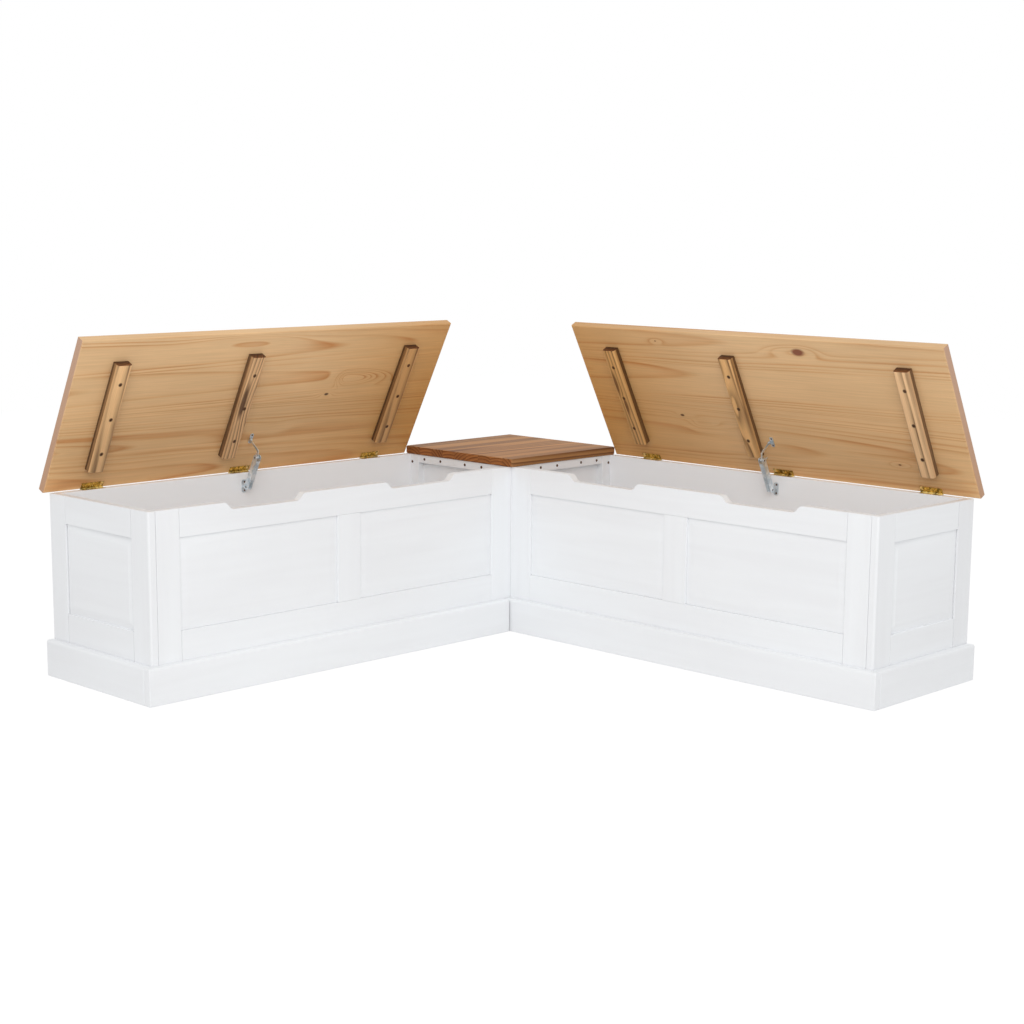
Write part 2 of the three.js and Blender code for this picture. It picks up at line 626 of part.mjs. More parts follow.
// Upper strap of the stay: a bent flat bar with a loose eye at the knee and a rivet at the lid
function stayStrap(side) {
  const half = STAY_STRAP_THICKNESS / 2;
  const runs = across(side, [-half, half]);
  const looseRadius = STAY_RIVET_RADIUS + STAY_KNEE_PLAY;
  const earOuter = half + JOINT_GAP + STAY_PLATE + JOINT_GAP;
  const heads = [
    [-half - STAY_RIVET_HEAD_HEIGHT, half],
    [earOuter, earOuter + STAY_RIVET_HEAD_HEIGHT],
  ];
  const strap = cut(
    join(
      bar(STAY_LID_PIVOT, STAY_BEND, STAY_STRAP_WIDTH, runs),
      bar(STAY_BEND, STAY_KNEE, STAY_STRAP_WIDTH, runs),
      rod(STAY_LID_PIVOT, STAY_LID_EYE_RADIUS, runs, EYE_SEGMENTS),
      rod(STAY_BEND, STAY_STRAP_WIDTH / 2, runs, EYE_SEGMENTS),
      rod(STAY_KNEE, looseRadius + STAY_EYE_WALL, runs, EYE_SEGMENTS),
    ),
    rod(STAY_KNEE, looseRadius, across(side, wider([-half, half])), RIVET_SEGMENTS),
  );
  return join(
    strap,
    rod(STAY_LID_PIVOT, STAY_RIVET_RADIUS, across(side, [-half, heads[1][1]]), RIVET_SEGMENTS),
    ...heads.map((head) => rod(STAY_LID_PIVOT, STAY_RIVET_HEAD_RADIUS, across(side, head), RIVET_SEGMENTS)),
  );
}

// A point given at rest, turned back to where it lies when the lid is closed
function closedPoint(side, { depth, height }) {
  const turned = new THREE.Vector2(depth - HINGE_PIN_DEPTH, height - PIN_HEIGHT);
  turned.rotateAround(new THREE.Vector2(), -LID_OPEN_ANGLES[side]);
  return { depth: turned.x + HINGE_PIN_DEPTH, height: turned.y + PIN_HEIGHT };
}

// The stay's bracket under the lid, in the closed lid's place
function stayLidBracket(side) {
  const pivot = closedPoint(side, STAY_LID_PIVOT);
  const top = LID_UNDERSIDE - JOINT_GAP;
  const start = STAY_STRAP_THICKNESS / 2 + JOINT_GAP;
  const ear = [start, start + STAY_PLATE];
  const footDepths = [pivot.depth - STAY_LID_FOOT_LENGTH / 2, pivot.depth + STAY_LID_FOOT_LENGTH / 2];
  const root = { depth: pivot.depth, height: top - STAY_PLATE / 2 };
  return cut(
    join(
      block(across(side, [start, start + STAY_LID_FOOT_WIDTH]), footDepths, [top - STAY_PLATE, top]),
      bar(root, pivot, 2 * STAY_LID_EYE_RADIUS, across(side, ear)),
      rod(pivot, STAY_LID_EYE_RADIUS, across(side, ear), EYE_SEGMENTS),
    ),
    rod(pivot, STAY_RIVET_RADIUS + JOINT_GAP, across(side, wider(ear)), RIVET_SEGMENTS),
  );
}

// A batten with its two lower arrises rounded, screwed across the underside of the lid
function batten(run) {
  const top = LID_UNDERSIDE - JOINT_GAP;
  const bottom = top - BATTEN_THICKNESS;
  const [left, right] = [run - BATTEN_WIDTH / 2, run + BATTEN_WIDTH / 2];
  const arris = bottom + BATTEN_EDGE_RADIUS;
  const shape = new THREE.Shape();
  shape.moveTo(left, top);
  shape.lineTo(left, arris);
  shape.absarc(left + BATTEN_EDGE_RADIUS, arris, BATTEN_EDGE_RADIUS, Math.PI, 1.5 * Math.PI, false);
  shape.lineTo(right - BATTEN_EDGE_RADIUS, bottom);
  shape.absarc(right - BATTEN_EDGE_RADIUS, arris, BATTEN_EDGE_RADIUS, 1.5 * Math.PI, 2 * Math.PI, false);
  shape.lineTo(right, top);
  shape.closePath();
  const geometry = new THREE.ExtrudeGeometry(shape, {
    depth: BATTEN_LENGTH,
    bevelEnabled: false,
    curveSegments: 4,
  });
  geometry.rotateX(Math.PI / 2);
  geometry.translate(0, -(SEAT_DEPTH - BATTEN_LENGTH) / 2, 0);
  return geometry;
}

// The lid and all that is screwed to it, opened about the hinge pins
function lid(side) {
  const board = cut(
    roundedBoard(
      [LID_START, LID_END],
      [0, SEAT_DEPTH],
      [LID_UNDERSIDE, LID_UNDERSIDE + SEAT_THICKNESS],
      SEAT_EDGE_RADIUS,
    ),
    ...hingePockets([LID_UNDERSIDE - OVERRUN, LID_UNDERSIDE + HINGE_LEAF_THICKNESS + JOINT_GAP]),
  );
  const pieces = [mesh(`${side}_lid_board`, board, finish.pine)];
  BATTEN_RUN_SHARES[side].map(alongLid).forEach((run, i) => {
    pieces.push(mesh(`${side}_lid_batten_${i + 1}`, batten(run), finish.darkPine));
  });
  HINGE_RUNS.forEach((run, i) => {
    pieces.push(mesh(`${side}_hinge_${i + 1}_lid_leaf`, movingLeaf(run), finish.brass));
  });
  pieces.push(mesh(`${side}_stay_lid_bracket`, stayLidBracket(side), finish.zinc));
  const turned = new THREE.Group();
  turned.position.set(0, -HINGE_PIN_DEPTH, PIN_HEIGHT);
  turned.rotation.x = -LID_OPEN_ANGLES[side];
  for (const piece of pieces) {
    piece.position.set(0, HINGE_PIN_DEPTH, -PIN_HEIGHT);
    turned.add(piece);
  }
  return turned;
}

// One chest with its lid, hinges and stay
function chest(side, { stileStart, backStart, floorStart, plinthStart }) {
  const arm = new THREE.Group();
  arm.add(...frontFrame(side, stileStart));
  arm.add(...endFrame(side));
  arm.add(...carcassBoards(side, backStart, floorStart));
  arm.add(...plinth(side, plinthStart));
  HINGE_RUNS.forEach((run, i) => {
    arm.add(mesh(`${side}_hinge_${i + 1}_fixed_leaf`, fixedLeaf(run), finish.brass));
  });
  arm.add(mesh(`${side}_stay_base`, stayBase(side), finish.zinc));
  arm.add(mesh(`${side}_stay_arm`, stayArm(side), finish.zinc));
  arm.add(mesh(`${side}_stay_strap`, stayStrap(side), finish.zinc));
  arm.add(lid(side));
  return arm;
}

// The right arm lies along +X with its front to -Y. The left arm is its mirror image across the
// diagonal of the L, and butts against the right arm at the back, the front and the plinth.
const rightChest = chest("right", {
  stileStart: FRONT_FRAME_BACK,
  backStart: 0,
  floorStart: BACK_THICKNESS + JOINT_GAP,
  plinthStart: CHEST_DEPTH + JOINT_GAP,
});
const leftChest = chest("left", {
  stileStart: CHEST_DEPTH + JOINT_GAP,
  backStart: BACK_THICKNESS + JOINT_GAP,
  floorStart: FRONT_FRAME_BACK,
  plinthStart: CHEST_DEPTH + PLINTH_THICKNESS + 2 * JOINT_GAP,
});
leftChest.rotation.z = -Math.PI / 2;
leftChest.scale.y = -1;

const cornerSeat = mesh(
  "corner_seat_board",
  roundedBoard(
    [0, SEAT_DEPTH],
    [0, SEAT_DEPTH],
    [CARCASS_HEIGHT + JOINT_GAP, CARCASS_HEIGHT + JOINT_GAP + SEAT_THICKNESS],
    SEAT_EDGE_RADIUS,
  ),
  finish.darkPine,
);

// The origin is the middle of the part's footprint, lids open, on the floor
const bench = new THREE.Group();
bench.add(rightChest, leftChest, cornerSeat);
const extent = new THREE.Box3().setFromObject(bench, true);
const middle = extent.getCenter(new THREE.Vector3());
bench.position.set(-middle.x, -middle.y, -extent.min.z);

export default bench;
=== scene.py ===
# Corner storage bench: looks, screws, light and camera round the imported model. Metres, +Z up.
import json
import math

import bmesh
import bpy
from mathutils import Matrix, Vector

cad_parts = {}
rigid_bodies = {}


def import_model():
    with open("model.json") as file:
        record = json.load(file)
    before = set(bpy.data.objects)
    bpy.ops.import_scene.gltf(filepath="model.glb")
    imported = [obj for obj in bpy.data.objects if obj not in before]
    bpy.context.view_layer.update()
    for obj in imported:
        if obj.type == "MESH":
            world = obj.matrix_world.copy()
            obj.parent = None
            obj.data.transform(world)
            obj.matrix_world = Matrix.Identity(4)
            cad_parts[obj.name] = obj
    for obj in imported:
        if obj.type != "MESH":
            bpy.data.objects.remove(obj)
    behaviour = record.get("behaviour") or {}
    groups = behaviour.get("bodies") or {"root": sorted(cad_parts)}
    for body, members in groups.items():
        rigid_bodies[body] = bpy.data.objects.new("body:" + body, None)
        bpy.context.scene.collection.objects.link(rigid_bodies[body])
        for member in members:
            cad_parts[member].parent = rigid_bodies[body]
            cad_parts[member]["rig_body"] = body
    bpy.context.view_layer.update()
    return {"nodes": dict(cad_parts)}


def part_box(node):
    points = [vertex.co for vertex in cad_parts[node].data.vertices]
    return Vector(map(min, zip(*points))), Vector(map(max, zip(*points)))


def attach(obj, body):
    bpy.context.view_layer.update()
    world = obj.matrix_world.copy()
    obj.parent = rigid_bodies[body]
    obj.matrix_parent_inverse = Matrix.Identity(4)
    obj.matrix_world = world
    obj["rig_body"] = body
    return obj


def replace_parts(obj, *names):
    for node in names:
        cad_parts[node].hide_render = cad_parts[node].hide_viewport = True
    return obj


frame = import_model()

MM = 0.001
UP = Vector((0, 0, 1))

# The outer corner of the L, where each arm's run and depth start
CORNER = Vector((-0.751648, 0.751728, 0))
RIM_HEIGHT = 0.425
CORNER_SEAT_DEPTH = 0.200

# Lids stand open at these angles from closed, turned on pins in line with the back edges
LID_ANGLES = {"right": math.radians(62.1), "left": math.radians(62.9)}
HINGE_PIN_HEIGHT = 0.4254
LID_UNDERSIDE_LIFT = 0.0004
LID_START = 0.404

# Battens by their runs, with their screws by reach; the first is the one nearest the corner
BATTEN_RUNS = {"right": (0.5249, 0.8995, 1.4011), "left": (0.5269, 1.0235, 1.4021)}
BATTEN_THICKNESS = 0.020
BATTEN_SCREW_PLACES = (0.1075, 0.200, 0.2925)
BATTEN_SCREW_LIFT = 0.0003
HINGE_RUNS = (0.5329, 0.9625, 1.3881)
HINGE_SCREW_STEP = 0.024
HINGE_LEAF_MIDDLE = 0.0094

# Stays: their runs, the hand on which their plates carry the screws, and the plates' thickness
STAY_RUNS = {"right": 0.9505, "left": 0.9625}
STAY_HANDS = {"right": 1, "left": -1}
STAY_PLATE = 0.0012
# Their screws: in the foot on the back board, by depth and height, and in the bracket on the lid, by
# reach and rise; a step up and down from there, and off the stay's run
STAY_BASE_FACE = 0.0195
STAY_BASE_HEIGHT = 0.3915
STAY_BASE_SCREW_STEP = 0.0105
STAY_BASE_SCREW_OFFSET = 0.0035
STAY_LID_REACH = 0.0980
STAY_LID_FACE = 0.0015
STAY_LID_SCREW_STEP = 0.0095
STAY_LID_SCREW_OFFSET = 0.0066
# How far the corners of both plates are rounded
STAY_CORNER = {"base": 0.005, "lid_bracket": 0.004}
# The two rivets through each stay's arm, by depth and height, and how far off the arm's middle their
# heads end
STAY_RIVETS = ((0.0385, 0.3915), (0.077, 0.468))
STAY_RIVET_REACH = 0.007

# Screws through the seat rail and the post behind it, on the face towards the chest
SEAT_RAIL_FACE = 0.39605
SEAT_RAIL_SCREW_DEPTHS = (0.070, 0.132, 0.225, 0.287)
SEAT_RAIL_SCREW_HEIGHT = 0.4145
POST_FACE = 0.398
POST_SCREW_DEPTH = 0.0245
POST_SCREW_HEIGHT = 0.405

# Widths of the heads of screws and rivets, and how far a head stands proud
BATTEN_SCREW = 0.0066
HINGE_SCREW = 0.0062
SEAT_RAIL_SCREW = 0.0074
STAY_SCREW = 0.005
RIVET_END = 0.0044
SCREW_PROUD = 0.25 * MM
# A head as shares of its width: its depth, the radius of its foot, its rounded rim, and the slope into
# the hollow for the driver; and how high the rim rises, as a share of what stands proud
HEAD_DEPTH = 0.3
HEAD_FOOT = 0.24
HEAD_RIM = 0.08
HEAD_SLOPE = 0.16
HEAD_DOME = 0.3
HEAD_SIDES = 18

# End frames: depths where their stiles meet their rails, and the joint between them
END_STILE_EDGES = (0.062, 0.322)
JOINT = 0.0006
# The end panels have shrunk away from the stile at the back
END_PANEL_SHRINK = 0.0014
# The outer stile of each front stands a little off the end frame
END_FRAME_RUN = 1.482
OUTER_STILE_GAP = 0.0012
# Raised panels: the step round the field, and how softly it is rubbed down
FIELD_STEP = 0.0015
FIELD_EASE = 0.0025
# The bevels of a raised panel rise this much, and end in a shoulder this high, this far off the frame
BEVEL_RISE = 0.006
SHOULDER_HEIGHT = 0.004
SHOULDER_GAP = 0.0004
# The two plinths stand a little apart in the inner corner of the L
PLINTH_CORNER_RUN = 0.4096
PLINTH_CORNER_GAP = 0.003

# How much is sanded off the edges of most boards, the outer stiles, the plinths and the corner seat
ARRIS = 0.8 * MM
OUTER_STILE_ARRIS = 1.5 * MM
PLINTH_ARRIS = 2.2 * MM
CORNER_SEAT_ARRIS = 5 * MM
# An edge that turns more than SHARP is sanded, and one that turns between SOFT and SHARP lies round a
# panel's field
SHARP = math.radians(30)
SOFT = math.radians(3)
# Faces that turn less than FLAT are one face, and points nearer than MERGE are one point
FLAT = math.radians(0.4)
MERGE = 0.001 * MM
# Edges shorter than this, left where sanded edges run into each other, are closed up
SLIVER = 0.03 * MM
# Lengths and heights this near to each other count as the same
MATCH = 0.1 * MM
# A face that faces a way has at least this cosine with it, and an edge that runs along a way this one
FACING = 0.5
PARALLEL = 0.99


def on_arm(side, run, depth, height):
    """A point given by run along the arm, depth from its back and height, in the shared frame."""
    if side == "right":
        return CORNER + Vector((run, -depth, height))
    return CORNER + Vector((depth, -run, height))


def on_lid(side, run, reach, rise):
    """A point given by run, reach from the lid's back edge, and rise off its underside."""
    slope = Vector((math.cos(LID_ANGLES[side]), math.sin(LID_ANGLES[side])))
    lift = LID_UNDERSIDE_LIFT - rise
    depth = reach * slope.x - lift * slope.y
    height = HINGE_PIN_HEIGHT + reach * slope.y + lift * slope.x
    return on_arm(side, run, depth, height)


def outward(side):
    """One step along an arm, away from the corner."""
    return on_arm(side, 1, 0, 0) - on_arm(side, 0, 0, 0)


def forward(side):
    """One step out of the front of an arm."""
    return on_arm(side, 0, 1, 0) - on_arm(side, 0, 0, 0)


def linear(hexcode):
    """The linear colour that a shader takes, from an sRGB hex value."""
    parts = [int(hexcode[i:i + 2], 16) / 255 for i in (1, 3, 5)]
    parts = [c / 12.92 if c <= 0.04045 else ((c + 0.055) / 1.055) ** 2.4 for c in parts]
    return (*parts, 1.0)


def add(tree, kind, inputs=(), **settings):
    """Adds a node with its settings; each input is a value, a socket or a node's first output."""
    node = tree.nodes.new("ShaderNode" + kind)
    for name, value in settings.items():
        setattr(node, name, value)
    for name, value in dict(inputs).items():
        if isinstance(value, bpy.types.Node):
            value = value.outputs[0]
        if isinstance(value, bpy.types.NodeSocket):
            tree.links.new(value, node.inputs[name])
        else:
            node.inputs[name].default_value = value
    return node


def ranged(tree, value, start, end, low=0.0, high=1.0):
    """Turns a value that runs from start to end into one that runs from low to high."""
    return add(tree, "MapRange", {"Value": value, "From Min": start, "From Max": end,
                                  "To Min": low, "To Max": high})


def mixed(tree, share, first, second, blend_type="MIX"):
    """Two colours mixed by the share of the second; the node takes them at its inputs 6 and 7."""
    return add(tree, "Mix", {0: share, 6: first, 7: second}, data_type="RGBA",
               blend_type=blend_type).outputs[2]


def scaled(tree, place, scale):
    """A place times a scale along each axis: the cells of a pattern for each metre."""
    return add(tree, "VectorMath", {0: place, 1: scale}, operation="MULTIPLY")


def emptied(owner):
    """The node tree of a material or a world, with nothing in it."""
    owner.use_nodes = True
    owner.node_tree.nodes.clear()
    return owner.node_tree


def blank(name):
    """An empty material: its tree, its surface shader and its coordinates on the object."""
    material = bpy.data.materials.new(name)
    tree = emptied(material)
    shader = add(tree, "BsdfPrincipled")
    add(tree, "OutputMaterial", {"Surface": shader})
    place = add(tree, "TexCoord").outputs["Object"]
    return material, tree, shader, place


def dress(tree, shader, colour, roughness, relief, strength, height):
    """Gives a surface its colour, its roughness, and relief of a height and strength."""
    bump = add(tree, "Bump", {"Height": relief, "Strength": strength, "Distance": height})
    tree.links.new(colour, shader.inputs["Base Color"])
    tree.links.new(roughness.outputs[0], shader.inputs["Roughness"])
    tree.links.new(bump.outputs[0], shader.inputs["Normal"])


def turned(along, across):
    """The turn of a board's own axes: along the grain, across it, and out of its face."""
    along, across = Vector(along).normalized(), Vector(across).normalized()
    return Matrix((along, across, along.cross(across))).transposed().to_euler()


# Solid pine is cut from a log: its growth rings are cylinders round the pith, a little warped, and
# each glued stave has a pith of its own, so faces show long arches and ends show short arcs.

def growth_rings(tree, board, look):
    """How far a point of the board lies from the pith, and each stave's own random numbers."""
    split = add(tree, "SeparateXYZ", {0: board})
    stave = add(tree, "Math", {0: split.outputs[1], 1: 1 / look["stave"], 2: look["shift"]},
                operation="MULTIPLY_ADD")
    number = add(tree, "Math", {0: stave}, operation="FLOOR")
    seed = add(tree, "Math", {0: number, 1: look["seed"]}, operation="ADD")
    luck = add(tree, "TexWhiteNoise", {"W": seed}, noise_dimensions="1D").outputs["Color"]
    middle = add(tree, "Math", {0: number, 1: look["shift"] - 0.5}, operation="SUBTRACT")
    offset = add(tree, "Math", {0: middle, 1: -look["stave"]}, operation="MULTIPLY")
    centred = add(tree, "VectorMath", {0: board, 1: add(tree, "CombineXYZ", {1: offset})},
                  operation="ADD")
    pith = add(tree, "VectorMath", {0: luck, 1: look["pith_spread"], 2: look["pith"]},
               operation="MULTIPLY_ADD")
    log = add(tree, "VectorMath", {0: centred, 1: pith}, operation="ADD")
    sway = add(tree, "TexNoise", {"Vector": scaled(tree, log, look["wave"]), "Scale": 1.0,
                                  "Detail": 2.0, "Roughness": 0.45})
    swing = add(tree, "VectorMath", {0: sway.outputs["Color"], 1: (0.5, 0.5, 0.5)},
                operation="SUBTRACT")
    bent = add(tree, "VectorMath", {0: swing, 1: look["bend"], 2: log}, operation="MULTIPLY_ADD")
    parts = add(tree, "SeparateXYZ", {0: bent})
    lean = add(tree, "Math", {0: parts.outputs[0], 1: look["lean"], 2: parts.outputs[2]},
               operation="MULTIPLY_ADD")
    spoke = add(tree, "CombineXYZ", {1: parts.outputs[1], 2: lean})
    radius = add(tree, "VectorMath", {0: spoke}, operation="LENGTH").outputs["Value"]
    return radius, luck


# How fast the swing of the grain dies off a knot
SWING_FALL = -1.5
# A streak of heart wood begins and is full where the swing has these shares of its height
STREAK_EDGE = (0.25, 0.75)
# A knot's core is longer than wide, with a soft edge given as shares of its radius
CORE_SHAPE = (0.55, 1, 0)
CORE_EDGE = (1.25, 0.7)
CORE_SHARE = 0.9


def swirl(tree, board, radius, knot):
    """Grain that swings round a knot, steeply before it and gently after it, and the knot's core.

    A streak of dark heart wood is a long soft knot, given by how dark its heart is.
    """
    delta = add(tree, "VectorMath", {0: board, 1: (*knot["at"], 0)}, operation="SUBTRACT")
    parts = add(tree, "SeparateXYZ", {0: delta})
    before, after = 1 / knot["before"], 1 / knot["after"]
    size = add(tree, "Math", {0: parts.outputs[0]}, operation="ABSOLUTE")
    skew = add(tree, "Math", {0: size, 1: (after - before) / 2}, operation="MULTIPLY")
    run = add(tree, "Math", {0: parts.outputs[0], 1: (after + before) / 2, 2: skew},
              operation="MULTIPLY_ADD")
    reach = add(tree, "Math", {0: parts.outputs[1], 1: 1 / knot["beside"]}, operation="MULTIPLY")
    far = add(tree, "VectorMath", {0: add(tree, "CombineXYZ", {0: run, 1: reach})}, operation="LENGTH")
    square = add(tree, "Math", {0: far.outputs["Value"], 1: 2.0}, operation="POWER")
    fall = add(tree, "Math", {0: square, 1: SWING_FALL}, operation="MULTIPLY")
    bell = add(tree, "Math", {0: fall}, operation="EXPONENT")
    moved = add(tree, "Math", {0: bell, 1: knot["push"], 2: radius}, operation="MULTIPLY_ADD")
    if "heart" in knot:
        return moved, ranged(tree, bell, *STREAK_EDGE, 0.0, knot["heart"])
    if "core" not in knot:
        return moved, None
    core = add(tree, "VectorMath", {0: scaled(tree, delta, CORE_SHAPE)}, operation="LENGTH")
    soft, full = (knot["core"] * share for share in CORE_EDGE)
    return moved, ranged(tree, core.outputs["Value"], soft, full, 0.0, CORE_SHARE)


# In each year's ring the dark late wood is half grown and fully grown at these shares of its width,
# and then stops at once
LATE_HALF, LATE_FULL = 0.60, 0.86
# Years differ in width by a slow noise, with this many cells of it to a ring
YEAR_CHANGE = 0.37
# Noise seldom leaves these limits, so patterns are spread between them
NOISE_SPAN = (0.3, 0.7)
PATCH_SPAN = (0.36, 0.68)


def late_wood(tree, board, radius, look):
    """How much of the hard dark late wood there is at a point, from 0 to 1."""
    count = add(tree, "Math", {0: radius, 1: 1 / look["ring"]}, operation="MULTIPLY")
    uneven = add(tree, "TexNoise", {"W": count, "Scale": YEAR_CHANGE, "Detail": 1.0},
                 noise_dimensions="1D")
    year = add(tree, "Math", {0: uneven, 1: look["uneven"], 2: count}, operation="MULTIPLY_ADD")
    season = add(tree, "Math", {0: year}, operation="FRACT")
    line = add(tree, "ValToRGB", {"Fac": season})
    stops = line.color_ramp.elements
    half = look["half_way"]
    stops[0].position, stops[0].color = look["first_dark"], (0, 0, 0, 1)
    stops[1].position, stops[1].color = LATE_FULL, (1, 1, 1, 1)
    stops.new(LATE_HALF).color = (half, half, half, 1)
    stops.new(1.0).color = (0, 0, 0, 1)
    # Lines stand out in some places and fade in others
    patch = add(tree, "TexNoise", {"Vector": scaled(tree, board, look["patch"]), "Scale": 1.0,
                                   "Detail": 2.0})
    strength = ranged(tree, patch, *PATCH_SPAN, look["faint"], look["strong"])
    return add(tree, "Math", {0: line, 1: strength}, operation="MULTIPLY")


# Broad patches where wood takes stain alike are about 0.4 m long and 0.1 m wide
STAIN_PATCH = (2.4, 9.0, 9.0)


def stain_depth(tree, board, fibre, luck, look):
    """How deep the stain took: it differs by fibre, by broad patch and by stave."""
    streak = ranged(tree, fibre, *NOISE_SPAN, 1 - look["streak"], 1 + look["streak"])
    cloud = add(tree, "TexNoise", {"Vector": scaled(tree, board, STAIN_PATCH), "Scale": 1.0,
                                   "Detail": 2.0})
    cloud = ranged(tree, cloud, *NOISE_SPAN, 1 - look["cloud"], 1 + look["cloud"])
    tone = ranged(tree, add(tree, "SeparateXYZ", {0: luck}).outputs[0], 0.0, 1.0,
                  1 - look["tone"], 1 + look["tone"])
    depth = add(tree, "Math", {0: streak, 1: cloud}, operation="MULTIPLY")
    return add(tree, "Math", {0: depth, 1: tone}, operation="MULTIPLY")


# End grain begins and is full where a face turns this much towards the grain, as a cosine
END_GRAIN = (0.5, 0.9)


def end_grain(tree, along, colour, look):
    """End grain takes the stain differently: the lids' ends are pale, the others drink more of it."""
    facing = add(tree, "VectorMath", {0: add(tree, "NewGeometry").outputs["Normal"],
                                      1: Vector(along).normalized()}, operation="DOT_PRODUCT")
    facing = add(tree, "Math", {0: facing.outputs["Value"]}, operation="ABSOLUTE")
    ends = mixed(tree, look["end_share"], colour, linear(look["end"]), look["end_blend"])
    return mixed(tree, ranged(tree, facing, *END_GRAIN), colour, ends)


# Painted shade: a lid is darkened below this run from its start and this reach from its back edge,
# and takes up these shares of its shade colour there
SHADE_RUN, SHADE_AT_CORNER = 0.45, 0.80
SHADE_REACH, SHADE_AT_HINGES = 0.40, 0.42


def painted_corner_and_hinge_shade(tree, board, colour, look):
    """Painted shade: the lid darkens towards the corner of the L and towards the hinges."""
    spot = add(tree, "SeparateXYZ", {0: board})
    run = add(tree, "Math", {0: spot.outputs[0]}, operation="ABSOLUTE")
    inner = ranged(tree, run, SHADE_RUN, 0.0, 0.0, SHADE_AT_CORNER)
    low = ranged(tree, spot.outputs[1], SHADE_REACH, 0.0, 0.0, SHADE_AT_HINGES)
    shaded = add(tree, "Math", {0: inner, 1: low}, operation="ADD", use_clamp=True)
    return mixed(tree, shaded, colour, linear(look["deep"]), "MULTIPLY")


# Painted shade darkens the sides of a batten between these heights off the lid, where it meets the
# lid, and rings of painted shade lie round its screws between these distances from their middles
CREASE_SHADE_EDGE = (0.019, 0.006)
BORE_SHADE_EDGE = (0.0056, 0.0042)
BORE_SHADE_SHARE = 0.85


def painted_crease_shade(tree, board, colour, look):
    """Painted shade: darker down the sides, where the batten meets the lid, and in a ring round each
    screw.
    """
    rise = add(tree, "SeparateXYZ", {0: board}).outputs[2]
    crease_share = ranged(tree, rise, *CREASE_SHADE_EDGE, 0.0, look["gutter"])
    colour = mixed(tree, crease_share, colour, linear(look["dark"]))
    for reach in look["bores"]:
        away = add(tree, "VectorMath", {0: board, 1: (reach, 0, 0)}, operation="SUBTRACT")
        away = add(tree, "VectorMath", {0: scaled(tree, away, (1, 1, 0))}, operation="LENGTH")
        rim = ranged(tree, away.outputs["Value"], *BORE_SHADE_EDGE, 0.0, BORE_SHADE_SHARE)
        colour = mixed(tree, rim, colour, linear(look["dark"]))
    return colour


# Pine, planed, glued up from staves, stained and varnished satin. It gives the eye warm brown arches
# and lines of hard late wood on paler early wood, which run lengthwise and swing round the knots, on
# boards that differ a little in tone, under a low even sheen. The varnish is this much smoother and
# rougher from place to place, and the grain stands out of it by a tenth of a millimetre.
VARNISH_SMOOTHER, VARNISH_ROUGHER = 0.06, 0.08
LATE_WOOD_RELIEF = 0.15
PINE_RELIEF = dict(strength=0.25, height=0.12 * MM)


def pine(name, origin, along, across, look):
    """Solid pine under a stain and a satin varnish."""
    material, tree, shader, place = blank(name)
    board = add(tree, "Mapping", {"Vector": place, "Location": origin,
                                  "Rotation": turned(along, across)}, vector_type="TEXTURE")
    radius, luck = growth_rings(tree, board, look)
    cores = []
    for knot in look.get("knots", ()):
        radius, share = swirl(tree, board, radius, knot)
        if share:
            cores.append((share, linear(knot["colour"])))
    late = late_wood(tree, board, radius, look)
    # Fibres are finer than a tenth of a millimetre, and drawn coarser so that they show
    fibre = add(tree, "TexNoise", {"Vector": scaled(tree, board, look["fibre"]), "Scale": 1.0,
                                   "Detail": 3.0, "Roughness": 0.6})
    wood = mixed(tree, late, linear(look["early"]), linear(look["late"]))
    depth = stain_depth(tree, board, fibre, luck, look)
    colour = add(tree, "VectorMath", {0: wood, "Scale": depth}, operation="SCALE").outputs[0]
    colour = end_grain(tree, along, colour, look)
    # Painted shade towards the corner of the L and towards the hinges
    if "deep" in look:
        colour = painted_corner_and_hinge_shade(tree, board, colour, look)
    # Painted shade where the battens meet the lid and round their screws
    if "gutter" in look:
        colour = painted_crease_shade(tree, board, colour, look)
    for share, dark in cores:
        colour = mixed(tree, share, colour, dark)
    shader.inputs["Specular IOR Level"].default_value = look["gloss"]
    sheen = ranged(tree, fibre, 0.0, 1.0,
                   look["rough"] - VARNISH_SMOOTHER, look["rough"] + VARNISH_ROUGHER)
    relief = add(tree, "Math", {0: late, 1: LATE_WOOD_RELIEF, 2: fibre}, operation="MULTIPLY_ADD")
    dress(tree, shader, colour, sheen, relief, **PINE_RELIEF)
    return material


# Pine sprayed and rubbed with an opaque white satin paint. It gives the eye a cool soft white with a
# faint lengthwise relief of grain, gentler than bare wood, and broad dull highlights. Its colours are
# those of the thin and the full coat. The boards inside the chests are painted brighter, as painted
# light that makes up for the shade inside the chests.
WHITE_COAT = ("#F1F2F4", "#F8FAFC")
# Brighter paint for the boards inside the chests: painted light against the shade in there
BRIGHTENED_COAT = ("#FAFBFD", "#FEFEFF")
# Raised grain lines are 6 to 12 mm apart, brush marks are drawn 2 mm wide so that they show, and the
# coat changes over 0.6 m along the grain and 0.2 m across it; given as cells for each metre along the
# grain, across it and out
RAISED_GRAIN = (2.2, 34.0, 34.0)
BRUSH_MARKS = (7.0, 420.0, 420.0)
COAT_PATCH = (1.6, 5.0, 5.0)
COAT_SPAN = (0.5, 1.05)
GRAIN_IN_COAT = 0.55
BRUSH_IN_RELIEF = 0.35
PAINT_ROUGHNESS = (0.40, 0.56)
PAINT_RELIEF = dict(strength=0.35, height=0.25 * MM)


